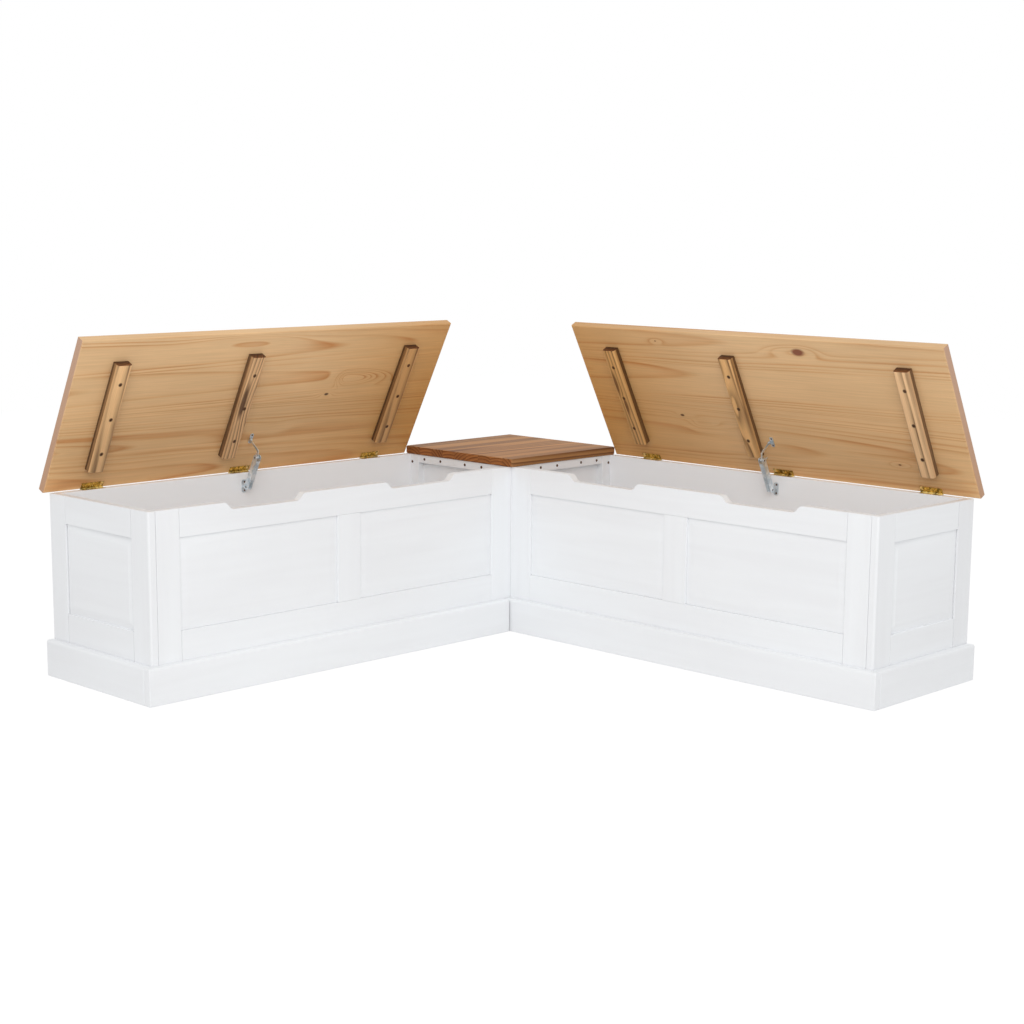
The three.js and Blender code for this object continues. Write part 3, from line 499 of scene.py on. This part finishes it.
def painted(name, along, across, coat):
    """Pine under brushed satin paint: the grain and the brush marks stand in faint relief."""
    material, tree, shader, place = blank(name)
    board = add(tree, "Mapping", {"Vector": place, "Rotation": turned(along, across)},
                vector_type="TEXTURE")
    grain = add(tree, "TexNoise", {"Vector": scaled(tree, board, RAISED_GRAIN), "Scale": 1.0,
                                   "Detail": 3.0, "Distortion": 0.6})
    brush = add(tree, "TexNoise", {"Vector": scaled(tree, board, BRUSH_MARKS), "Scale": 1.0,
                                   "Detail": 2.0})
    cloud = add(tree, "TexNoise", {"Vector": scaled(tree, board, COAT_PATCH), "Scale": 1.0,
                                   "Detail": 2.0})
    both = add(tree, "Math", {0: grain, 1: GRAIN_IN_COAT, 2: cloud}, operation="MULTIPLY_ADD")
    thin, full = coat
    colour = mixed(tree, ranged(tree, both, *COAT_SPAN), linear(thin), linear(full))
    gloss = ranged(tree, brush, 0.0, 1.0, *PAINT_ROUGHNESS)
    relief = add(tree, "Math", {0: brush, 1: BRUSH_IN_RELIEF, 2: grain}, operation="MULTIPLY_ADD")
    dress(tree, shader, colour, gloss, relief, **PAINT_RELIEF)
    return material


# Pressed steel under thin plating. It gives the eye a bright metal with blurred reflections, whose
# tone is patched where the plating and its handling differ; on the hinges' brass the dark olive
# patches are painted reflection and shade. The dull patches are rougher.
MOTTLE_SPAN = (0.38, 0.62)
DULL_ROUGHER, BRIGHT_SMOOTHER = 0.1, 0.06
METAL_RELIEF = 0.3


def metal(name, bright, dull, rough, marks, bump_height):
    """A plated metal: its tone and gloss wander a little, with fine marks in its surface."""
    material, tree, shader, place = blank(name)
    shader.inputs["Metallic"].default_value = 1.0
    fine = add(tree, "VectorMath", {0: place, "Scale": marks}, operation="SCALE").outputs[0]
    mottle = add(tree, "TexNoise", {"Vector": fine, "Scale": 1.0, "Detail": 4.0, "Roughness": 0.6})
    colour = mixed(tree, ranged(tree, mottle, *MOTTLE_SPAN), linear(dull), linear(bright))
    gloss = ranged(tree, mottle, 0.0, 1.0, rough + DULL_ROUGHER, rough - BRIGHT_SMOOTHER)
    dress(tree, shader, colour, gloss, mottle, METAL_RELIEF, bump_height)
    return material


# The way each lid's grain runs, and the way up its face
LID_AXES = {
    "right": (Vector((1, 0, 0)), on_lid("right", 0, 1, 0) - on_lid("right", 0, 0, 0)),
    "left": (Vector((0, 1, 0)), on_lid("left", 0, 1, 0) - on_lid("left", 0, 0, 0)),
}

# A look of pine, in metres, with axes along the grain, across it and out of the face:
#   stave, shift            width of a glued stave, and the share of one by which they are moved
#   seed                    which random numbers the staves get
#   ring, uneven, lean      width of a year's ring, how much years differ, the log's slope in the board
#   first_dark, half_way    where in a ring the dark wood begins, and how dark it is half grown
#   pith, pith_spread       where the middle of the log lies, and how far that differs between staves
#   wave, bend              waves of the rings for each metre, and how far they sway
#   patch, faint, strong    patches for each metre where lines fade and stand out, and how much
#   early, late             colours of the soft and the hard wood
#   deep                    colour of the painted shade on the lids, towards the corner and the hinges
#   end, end_blend, end_share    the colour mixed into the end grain, how, and how much of it
#   fibre, streak           fibres for each metre, and how much their tones differ
#   cloud, tone             how much the tones of broad patches and of staves differ
#   rough, gloss            roughness and strength of the varnish's sheen
#   gutter, dark, bores    share and colour of painted shade, and the screws that it lies round

# Lid boards: honey stained pine, satin varnish; calm lengthwise grain with a few arches and knots
LID_LOOK = dict(
    stave=0.105, shift=0.10, ring=0.0044, uneven=2.6, lean=0.008, first_dark=0.34, half_way=0.26,
    pith=(2.0, -0.06, 0.060), pith_spread=(9.0, 0.13, 0.05),
    wave=(1.1, 5.0, 5.0), bend=(0.0, 0.013, 0.010), patch=(1.6, 26.0, 26.0),
    # deep is the colour of the painted shade towards the corner and the hinges
    faint=0.12, strong=0.86, early="#E7C090", late="#C98546", deep="#EBD6AF",
    end="#C09A84", end_blend="MIX", end_share=0.85,
    fibre=(6.0, 240.0, 240.0), streak=0.065, cloud=0.05, tone=0.03, rough=0.50, gloss=0.40,
)
LID_SEEDS = {"left": 3.0, "right": 8.0}
# Knots and swirls of each lid: place by run and reach, the swing of the grain before, after and
# beside it, how far the rings are pushed, and the radius and the colour of the core
LID_KNOTS = {
    "left": (
        dict(at=(-0.3523, 0.2107), before=0.03, after=0.03, beside=0.010, push=0.005, core=0.0036,
             colour="#3E220C"),
        dict(at=(-0.300, 0.255), before=0.042, after=0.16, beside=0.028, push=0.021),
        dict(at=(-0.62, 0.372), before=0.18, after=0.14, beside=0.024, push=-0.008),
        dict(at=(-0.50, 0.120), before=0.16, after=0.10, beside=0.030, push=0.006),
    ),
    "right": (
        dict(at=(0.7096, 0.3638), before=0.10, after=0.06, beside=0.018, push=0.012, core=0.0095,
             colour="#7E3B26"),
        dict(at=(0.2851, 0.1517), before=0.03, after=0.05, beside=0.010, push=0.006, core=0.0034,
             colour="#4A2410"),
        dict(at=(0.335, 0.130), before=0.04, after=0.12, beside=0.020, push=0.009),
        dict(at=(0.9150, 0.0712), before=0.03, after=0.03, beside=0.008, push=0.004, core=0.0022,
             colour="#6A3A1C"),
        dict(at=(0.2743, 0.3694), before=0.03, after=0.03, beside=0.010, push=0.004, core=0.0018,
             colour="#8A5428"),
    ),
}
# Battens: the same pine stained darker, in narrow sticks with close dark lines
BATTEN_LOOK = dict(
    stave=1.0, shift=0.5, ring=0.0080, uneven=0.8, lean=0.008, first_dark=0.30, half_way=0.5,
    pith=(1.0, -0.055, 0.010), pith_spread=(5.0, 0.05, 0.012),
    wave=(2.4, 20.0, 20.0), bend=(0.0, 0.009, 0.007), patch=(5.0, 50.0, 50.0),
    faint=0.45, strong=1.0, late="#543010", end="#8A6A50", end_blend="MULTIPLY", end_share=1.0,
    fibre=(16.0, 500.0, 500.0), streak=0.10, cloud=0.10, tone=0.04, rough=0.50, gloss=0.40,
    # The next line paints shade down the batten's sides by the lid and round its screws
    gutter=0.85, dark="#3E2411", bores=BATTEN_SCREW_PLACES,
)
BATTEN_SEEDS = {"right": 11.0, "left": 16.0}
# The colour of the soft wood of each batten, from the corner outwards, each paler than the one before
BATTEN_STAIN = {"right": ("#DCA868", "#E8B578", "#F6CA98"), "left": ("#D2A068", "#E6B886", "#EEC08A")}
# The grain of some battens swings round a knot that was sawn away, or has streaks of heart wood:
# place by reach up the lid and across the batten, the rest as on the lids, and how dark a heart is
BATTEN_KNOTS = {
    ("left", 2): (
        dict(at=(0.195, -0.010), before=0.09, after=0.13, beside=0.024, push=0.010),
        dict(at=(0.213, 0.009), before=0.055, after=0.085, beside=0.011, push=0.004, heart=0.88,
             colour="#4A2A14"),
    ),
    ("right", 2): (dict(at=(0.210, 0.010), before=0.10, after=0.07, beside=0.016, push=0.010),),
    ("right", 1): (
        dict(at=(0.245, 0.009), before=0.050, after=0.050, beside=0.007, push=0.004, heart=0.8,
             colour="#5A3418"),
        dict(at=(0.180, -0.001), before=0.045, after=0.030, beside=0.007, push=0.006, heart=0.8,
             colour="#5A3418"),
    ),
}
# Corner seat: browner stain, staves glued side by side, and rings drawn wider so that the ends show
# them
SEAT_LOOK = dict(
    stave=0.044, shift=0.3, seed=21.0, ring=0.0085, uneven=0.9, lean=0.008,
    first_dark=0.22, half_way=0.44,
    pith=(2.0, -0.055, 0.006), pith_spread=(7.0, 0.11, 0.035),
    wave=(1.0, 9.0, 9.0), bend=(0.0, 0.006, 0.005), patch=(0.9, 26.0, 26.0),
    faint=0.62, strong=0.92, early="#B98553", late="#5A3216",
    end="#E8CEB6", end_blend="MULTIPLY", end_share=1.0,
    fibre=(9.0, 320.0, 320.0), streak=0.09, cloud=0.02, tone=0.15, rough=0.58, gloss=0.22,
)

# Paint by the way that the grain of the board runs
PAINT = {
    "x": painted("white_satin_paint_grain_across_the_room", (1, 0, 0), (0, 1, 0), WHITE_COAT),
    "y": painted("white_satin_paint_grain_down_the_room", (0, 1, 0), (0, 0, 1), WHITE_COAT),
    "z": painted("white_satin_paint_grain_upright", (0, 0, 1), (1, 0, 0), WHITE_COAT),
}
# The inside boards' paint is brighter: painted light for the shade inside the chests
BRIGHTENED_INSIDE_PAINT = {
    "x": painted("white_satin_paint_full_coat_grain_across_the_room", (1, 0, 0), (0, 1, 0), BRIGHTENED_COAT),
    "y": painted("white_satin_paint_full_coat_grain_down_the_room", (0, 1, 0), (0, 0, 1), BRIGHTENED_COAT),
}
# The hinges' brass is patched bright and dark olive: painted reflection and shade
BRASS = metal("brass_plated_pressed_steel", "#FBE096", "#8C7640", 0.26, 130.0, 0.02 * MM)
ZINC = metal("bright_zinc_plated_steel", "#F2F7FA", "#C8D5DD", 0.46, 70.0, 0.01 * MM)
BRASS_HEAD = metal("brass_plated_screw_head", "#FFF2C4", "#E0BC6A", 0.30, 700.0, 0.02 * MM)
BROWN_HEAD = metal("bronzed_steel_screw", "#80604A", "#432E22", 0.44, 700.0, 0.02 * MM)


def lid_pine(side):
    """The wood of a lid board."""
    along, across = LID_AXES[side]
    look = dict(LID_LOOK, seed=LID_SEEDS[side], knots=LID_KNOTS[side])
    return pine(side + "_lid_pine_honey_stain_satin_varnish",
                on_lid(side, LID_START, 0.0, 0.0), along, across, look)


def batten_pine(side, number, run):
    """The wood of a batten, whose grain runs up the lid."""
    along, across = LID_AXES[side]
    look = dict(BATTEN_LOOK, seed=BATTEN_SEEDS[side] + number, early=BATTEN_STAIN[side][number - 1],
                knots=BATTEN_KNOTS.get((side, number), ()))
    return pine(f"{side}_batten_{number}_pine_walnut_stain_satin_varnish",
                on_lid(side, run, 0.0, 0.0), across, -along, look)


WOOD = {f"{side}_lid_board": lid_pine(side) for side in ("right", "left")}
for side, runs in BATTEN_RUNS.items():
    for number, run in enumerate(runs, 1):
        WOOD[f"{side}_lid_batten_{number}"] = batten_pine(side, number, run)
WOOD["corner_seat_board"] = pine("corner_seat_pine_brown_stain_satin_varnish",
                                 on_arm("right", 0, CORNER_SEAT_DEPTH, RIM_HEIGHT),
                                 (0, 1, 0), (-1, 0, 0), SEAT_LOOK)

UPRIGHT = ("stile", "muntin", "divider")


def grain_of(node):
    """The way that the grain of a painted board runs."""
    if any(word in node for word in UPRIGHT):
        return "z"
    low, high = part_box(node)
    return "x" if high[0] - low[0] > high[1] - low[1] else "y"


def finish_with(piece, material):
    """Gives a piece one material all over."""
    piece.data.materials.clear()
    piece.data.materials.append(material)


def put(name, data):
    """A new object in the scene."""
    thing = bpy.data.objects.new(name, data)
    bpy.context.scene.collection.objects.link(thing)
    return thing


def new_piece(name, mesh, body, material):
    """Makes an object of a bmesh, free of slivers, at the origin, that rides on a body."""
    bmesh.ops.remove_doubles(mesh, verts=mesh.verts, dist=SLIVER)
    bmesh.ops.dissolve_degenerate(mesh, edges=mesh.edges, dist=SLIVER)
    data = bpy.data.meshes.new(name)
    mesh.to_mesh(data)
    mesh.free()
    piece = put(name, data)
    finish_with(piece, material)
    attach(piece, body)
    return piece


def copy_of(node):
    """A copy of a board, its loose triangles joined into whole faces."""
    mesh = bmesh.new()
    mesh.from_mesh(frame["nodes"][node].data)
    bmesh.ops.remove_doubles(mesh, verts=mesh.verts, dist=MERGE)
    bmesh.ops.dissolve_limit(mesh, angle_limit=FLAT, verts=mesh.verts, edges=mesh.edges)
    return mesh


def saw(mesh, place, off):
    """Takes away what lies past a plane, on the side that off points to, and closes the cut."""
    everything = mesh.verts[:] + mesh.edges[:] + mesh.faces[:]
    bmesh.ops.bisect_plane(mesh, geom=everything, plane_co=place, plane_no=off, clear_outer=True)
    bmesh.ops.holes_fill(mesh, edges=[e for e in mesh.edges if e.is_boundary], sides=0)
    bmesh.ops.recalc_face_normals(mesh, faces=mesh.faces)


def sand(mesh, edges, width, segments=2):
    """Takes the given edges off, as sanding leaves them."""
    bmesh.ops.bevel(mesh, geom=edges, offset=width, affect="EDGES", segments=segments, profile=0.5,
                    material=-1, clamp_overlap=True)


def sharp_edges(mesh):
    """The edges that a joiner would take off."""
    return [e for e in mesh.edges if len(e.link_faces) == 2 and e.calc_face_angle() > SHARP]


def stand_in(node, mesh, material, body="carcass", ending="_eased"):
    """Puts a worked copy of a node in the node's place."""
    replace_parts(new_piece(node + ending, mesh, body, material), node)


def ease(node, body, material, width=ARRIS, segments=2):
    """A copy of a board with its sharp edges sanded, in the board's place."""
    mesh = copy_of(node)
    sand(mesh, sharp_edges(mesh), width, segments)
    stand_in(node, mesh, material, body)


def end_frame(side):
    """The end frame as it is glued up: two stiles over the full height, with rails between them."""
    node = side + "_end_frame"
    back_edge, front_edge = END_STILE_EDGES
    onward = forward(side)
    level = PAINT["y" if side == "right" else "x"]
    for name, cuts, material in (
            ("back_stile", [(back_edge - JOINT, onward)], PAINT["z"]),
            ("front_stile", [(front_edge + JOINT, -onward)], PAINT["z"]),
            ("rails", [(back_edge + JOINT, -onward), (front_edge - JOINT, onward)], level)):
        mesh = copy_of(node)
        for depth, off in cuts:
            saw(mesh, on_arm(side, 0, depth, 0), off)
        sand(mesh, sharp_edges(mesh), OUTER_STILE_ARRIS if name == "front_stile" else ARRIS)
        piece = new_piece(f"{side}_end_{name}", mesh, "carcass", material)
        if name == "rails":
            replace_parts(piece, node)


def raised_panel(node, out, cuts=()):
    """A raised panel: soft edges round its field, and a shoulder where its bevels meet the frame."""
    mesh = copy_of(node)
    steps = [e for e in mesh.edges if abs(e.calc_length() - FIELD_STEP) < MATCH]
    for corners in [e.verts[:] for e in steps]:
        outer = max(corners, key=lambda v: v.co.dot(out)).co.copy()
        bmesh.ops.pointmerge(mesh, verts=corners, merge_co=outer)
    for place, off in cuts:
        saw(mesh, place, off)
    mesh.normal_update()
    foot = max(v.co.dot(out) for v in mesh.verts) - BEVEL_RISE
    raised = [f for f in mesh.faces if f.normal.dot(out) > FACING
              and f.calc_center_median().dot(out) > foot + MATCH]
    rim = bmesh.ops.inset_region(mesh, faces=raised, thickness=SHOULDER_GAP, depth=0.0,
                                 use_boundary=True, use_even_offset=True)["faces"]
    shoulder = {v for f in rim for v in f.verts if any(g in raised for g in v.link_faces)}
    bmesh.ops.translate(mesh, verts=list(shoulder), vec=out * SHOULDER_HEIGHT)
    mesh.normal_update()
    soft = [e for e in mesh.edges if len(e.link_faces) == 2 and SOFT < e.calc_face_angle() < SHARP]
    sand(mesh, soft, FIELD_EASE, segments=3)
    stand_in(node, mesh, PAINT[grain_of(node)])


def end_panel(side):
    """The end's panel, loose in its grooves, with a dark gap along the stile at the back."""
    edge = on_arm(side, 0, END_STILE_EDGES[0] + END_PANEL_SHRINK, 0)
    raised_panel(side + "_end_panel", outward(side), [(edge, -forward(side))])


def outer_stile(side):
    """The stile at the outer end of a front, with a dark joint between it and the end frame."""
    node = side + "_front_outer_stile"
    mesh = copy_of(node)
    saw(mesh, on_arm(side, END_FRAME_RUN - OUTER_STILE_GAP, 0, 0), outward(side))
    sand(mesh, sharp_edges(mesh), OUTER_STILE_ARRIS)
    stand_in(node, mesh, PAINT["z"])


def short_plinth():
    """The plinth board that stops short of the other one in the inner corner."""
    node = "left_plinth_front"
    mesh = copy_of(node)
    saw(mesh, on_arm("left", PLINTH_CORNER_RUN + PLINTH_CORNER_GAP, 0, 0), -outward("left"))
    sand(mesh, sharp_edges(mesh), PLINTH_ARRIS, segments=3)
    stand_in(node, mesh, PAINT["y"])


def stay_plate(side, part, face, body):
    """A stay's foot plate, with the corners of the plate rounded as they are punched."""
    node = f"{side}_stay_{part}"
    mesh = copy_of(node)
    corners = [e for e in mesh.edges if abs(e.calc_length() - STAY_PLATE) < MATCH
               and abs((e.verts[0].co - e.verts[1].co).normalized().dot(face)) > PARALLEL]
    sand(mesh, corners, STAY_CORNER[part], segments=5)
    stand_in(node, mesh, ZINC, body, "_rounded")


# Boards inside the chests, whose paint is brightened as painted light
INSIDE_BOARDS = ("back_panel", "floor_panel")
# These have cuts of their own, further down
OWN_CUTS = ("end_frame", "end_panel", "front_inner_panel", "front_outer_panel", "front_outer_stile")

for node, thing in frame["nodes"].items():
    body = thing["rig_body"]
    if "hinge" in node:
        finish_with(thing, BRASS)
    elif "stay" in node:
        finish_with(thing, ZINC)
    elif node == "corner_seat_board":
        ease(node, body, WOOD[node], CORNER_SEAT_ARRIS, segments=4)
    elif node in WOOD:
        ease(node, body, WOOD[node])
    elif node == "left_plinth_front":
        short_plinth()
    elif "plinth" in node:
        ease(node, body, PAINT[grain_of(node)], PLINTH_ARRIS, segments=3)
    elif any(word in node for word in INSIDE_BOARDS):
        ease(node, body, BRIGHTENED_INSIDE_PAINT[grain_of(node)])
    elif not any(word in node for word in OWN_CUTS):
        ease(node, body, PAINT[grain_of(node)])


def screw(mesh, place, out, width, proud):
    """Adds a countersunk screw head with a hollow for the driver, its face turned out."""
    depth = width * HEAD_DEPTH
    turn = UP.rotation_difference(out).to_matrix().to_4x4()
    seat = Matrix.Translation(place + out * (proud - depth / 2)) @ turn
    start = len(mesh.verts)
    made = bmesh.ops.create_cone(mesh, cap_ends=True, segments=HEAD_SIDES,
                                 radius1=width * HEAD_FOOT, radius2=width / 2, depth=depth)
    faces = {f for v in made["verts"] for f in v.link_faces}
    top = max(faces, key=lambda f: f.calc_center_median().z)
    bmesh.ops.inset_region(mesh, faces=[top], thickness=width * HEAD_RIM, depth=proud * HEAD_DOME)
    bmesh.ops.inset_region(mesh, faces=[top], thickness=width * HEAD_SLOPE, depth=-proud)
    mesh.verts.ensure_lookup_table()
    bmesh.ops.transform(mesh, matrix=seat, verts=mesh.verts[start:])


def screws(name, body, places, out, width, material=BROWN_HEAD):
    """One piece that holds a row of screw heads, all turned the same way."""
    mesh = bmesh.new()
    for place in places:
        screw(mesh, place, out.normalized(), width, SCREW_PROUD)
    new_piece(name, mesh, body, material)


def stay_screws(side, lid_face):
    """The screws of a stay's foot and bracket, and the dark ends of its rivets."""
    stay, hand = STAY_RUNS[side], STAY_HANDS[side]
    screws(side + "_stay_base_screws", "carcass",
           [on_arm(side, stay + hand * STAY_BASE_SCREW_OFFSET, STAY_BASE_FACE, STAY_BASE_HEIGHT + step)
            for step in (-STAY_BASE_SCREW_STEP, STAY_BASE_SCREW_STEP)],
           forward(side), STAY_SCREW)
    for cheek, way in (("near", 1), ("far", -1)):
        screws(f"{side}_stay_{cheek}_rivet_ends", side + "_stay_arm",
               [on_arm(side, stay + way * STAY_RIVET_REACH, *place) for place in STAY_RIVETS],
               outward(side) * way, RIVET_END)
    screws(side + "_stay_bracket_screws", side + "_lid",
           [on_lid(side, stay + hand * STAY_LID_SCREW_OFFSET, STAY_LID_REACH + step, STAY_LID_FACE)
            for step in (-STAY_LID_SCREW_STEP, STAY_LID_SCREW_STEP)],
           lid_face, STAY_SCREW)


for side in ("right", "left"):
    lid_face = on_lid(side, 0, 0, 1) - on_lid(side, 0, 0, 0)
    end_frame(side)
    end_panel(side)
    outer_stile(side)
    for place in ("inner", "outer"):
        raised_panel(f"{side}_front_{place}_panel", forward(side))
    for number, run in enumerate(BATTEN_RUNS[side], 1):
        screws(f"{side}_batten_{number}_screws", side + "_lid",
               [on_lid(side, run, reach, BATTEN_THICKNESS + BATTEN_SCREW_LIFT)
                for reach in BATTEN_SCREW_PLACES],
               lid_face, BATTEN_SCREW)
    for number, run in enumerate(HINGE_RUNS, 1):
        steps = (-HINGE_SCREW_STEP, 0, HINGE_SCREW_STEP)
        screws(f"{side}_hinge_{number}_lid_screws", side + "_lid",
               [on_lid(side, run + step, HINGE_LEAF_MIDDLE, 0) for step in steps],
               lid_face, HINGE_SCREW, BRASS_HEAD)
        screws(f"{side}_hinge_{number}_fixed_screws", "carcass",
               [on_arm(side, run + step, HINGE_LEAF_MIDDLE, RIM_HEIGHT) for step in steps],
               UP, HINGE_SCREW, BRASS_HEAD)
    screws(side + "_seat_rail_screws", "carcass",
           [on_arm(side, SEAT_RAIL_FACE, depth, SEAT_RAIL_SCREW_HEIGHT)
            for depth in SEAT_RAIL_SCREW_DEPTHS]
           + [on_arm(side, POST_FACE, POST_SCREW_DEPTH, POST_SCREW_HEIGHT)],
           outward(side), SEAT_RAIL_SCREW)
    stay_plate(side, "base", forward(side), "carcass")
    stay_plate(side, "lid_bracket", lid_face, side + "_lid")
    stay_screws(side, lid_face)


# The light that the room throws on the bench, beside the white that the camera sees
WORLD_LEVEL = 0.66
FLOOR_SIZE = 6.0
FLOOR_COLOUR = "#F2F2F2"
# The floor's own white, and its share beside what light and shadow make of the floor
FLOOR_GLOW = 1.08
FLOOR_GLOW_SHARE = 0.85
# One soft box, over the camera: angles in degrees, distance and size in metres, power in watts
FRONT_SOFT_BOX = dict(azimuth=44, elevation=30, distance=5.5, size=3.2, power=88)

# The camera, fitted to 60 corners and joints of the bench in the photograph; angles in radians
VIEW_TARGET = on_arm("right", 0.420683, 0.402376, 0.25)
VIEW_AZIMUTH = 0.7734115
VIEW_ELEVATION = 0.1679219
VIEW_DISTANCE = 4.81344
VIEW_ROLL = 0.0078712
SENSOR_WIDTH = 36.0
LENS_LENGTH = 66.075
LENS_SHIFT = (-0.003872, 0.02366)


# A white studio sweep: floor and background both show as plain white, and the floor keeps only the
# faint contact shadow that tells the eye that the bench stands on it

def seen(tree):
    """1 where the camera, a glossy or a see-through surface looks, and 0 for all other light."""
    path = add(tree, "LightPath")
    first = add(tree, "Math", {0: path.outputs["Is Camera Ray"], 1: path.outputs["Is Glossy Ray"]},
                operation="ADD")
    return add(tree, "Math", {0: first, 1: path.outputs["Is Transmission Ray"]}, operation="ADD",
               use_clamp=True)


def white_floor():
    """The floor of the sweep, which is part of the stage and not of the bench."""
    material = bpy.data.materials.new("white_studio_floor")
    tree = emptied(material)
    matt = add(tree, "BsdfDiffuse", {"Color": linear(FLOOR_COLOUR)})
    glow = add(tree, "Emission", {"Strength": FLOOR_GLOW})
    share = add(tree, "Math", {0: seen(tree), 1: FLOOR_GLOW_SHARE}, operation="MULTIPLY")
    both = add(tree, "MixShader", {0: share, 1: matt, 2: glow})
    add(tree, "OutputMaterial", {"Surface": both})
    mesh = bmesh.new()
    bmesh.ops.create_grid(mesh, x_segments=1, y_segments=1, size=FLOOR_SIZE)
    data = bpy.data.meshes.new("floor")
    mesh.to_mesh(data)
    mesh.free()
    data.materials.append(material)
    put("floor", data)


def white_world():
    """White behind the bench, with a lower level for the light that falls on it."""
    world = bpy.data.worlds.new("white_room")
    bpy.context.scene.world = world
    tree = emptied(world)
    level = ranged(tree, seen(tree), 0.0, 1.0, WORLD_LEVEL, 1.0)
    sky = add(tree, "Background", {"Color": (1, 1, 1, 1), "Strength": level})
    add(tree, "OutputWorld", {"Surface": sky})


def back_towards(azimuth, elevation):
    """The way from the bench to a lamp or a camera; azimuth 0 is in front of the right arm."""
    return Vector((math.sin(azimuth) * math.cos(elevation), -math.cos(azimuth) * math.cos(elevation),
                   math.sin(elevation)))


def soft_box(name, azimuth, elevation, distance, size, power):
    """A square soft box, pointed at the middle of the bench."""
    back = back_towards(math.radians(azimuth), math.radians(elevation))
    light = bpy.data.lights.new(name, "AREA")
    light.shape, light.size, light.energy = "SQUARE", size, power
    lamp = put(name, light)
    lamp.location = VIEW_TARGET + back * distance
    lamp.rotation_euler = back.to_track_quat("Z", "Y").to_euler()


def camera():
    """A camera where the photograph's stood."""
    back = back_towards(VIEW_AZIMUTH, VIEW_ELEVATION)
    right = UP.cross(back).normalized()
    up = back.cross(right)
    right, up = (right * math.cos(VIEW_ROLL) + up * math.sin(VIEW_ROLL),
                 up * math.cos(VIEW_ROLL) - right * math.sin(VIEW_ROLL))
    lens = bpy.data.cameras.new("camera")
    lens.sensor_width, lens.lens = SENSOR_WIDTH, LENS_LENGTH
    lens.shift_x, lens.shift_y = LENS_SHIFT
    eye = put("camera", lens)
    turn = Matrix((right, up, back)).transposed().to_4x4()
    eye.matrix_world = Matrix.Translation(VIEW_TARGET + back * VIEW_DISTANCE) @ turn
    bpy.context.scene.camera = eye


white_floor()
white_world()
soft_box("front_soft_box", **FRONT_SOFT_BOX)
camera()
bpy.context.scene.view_settings.view_transform = "Standard"
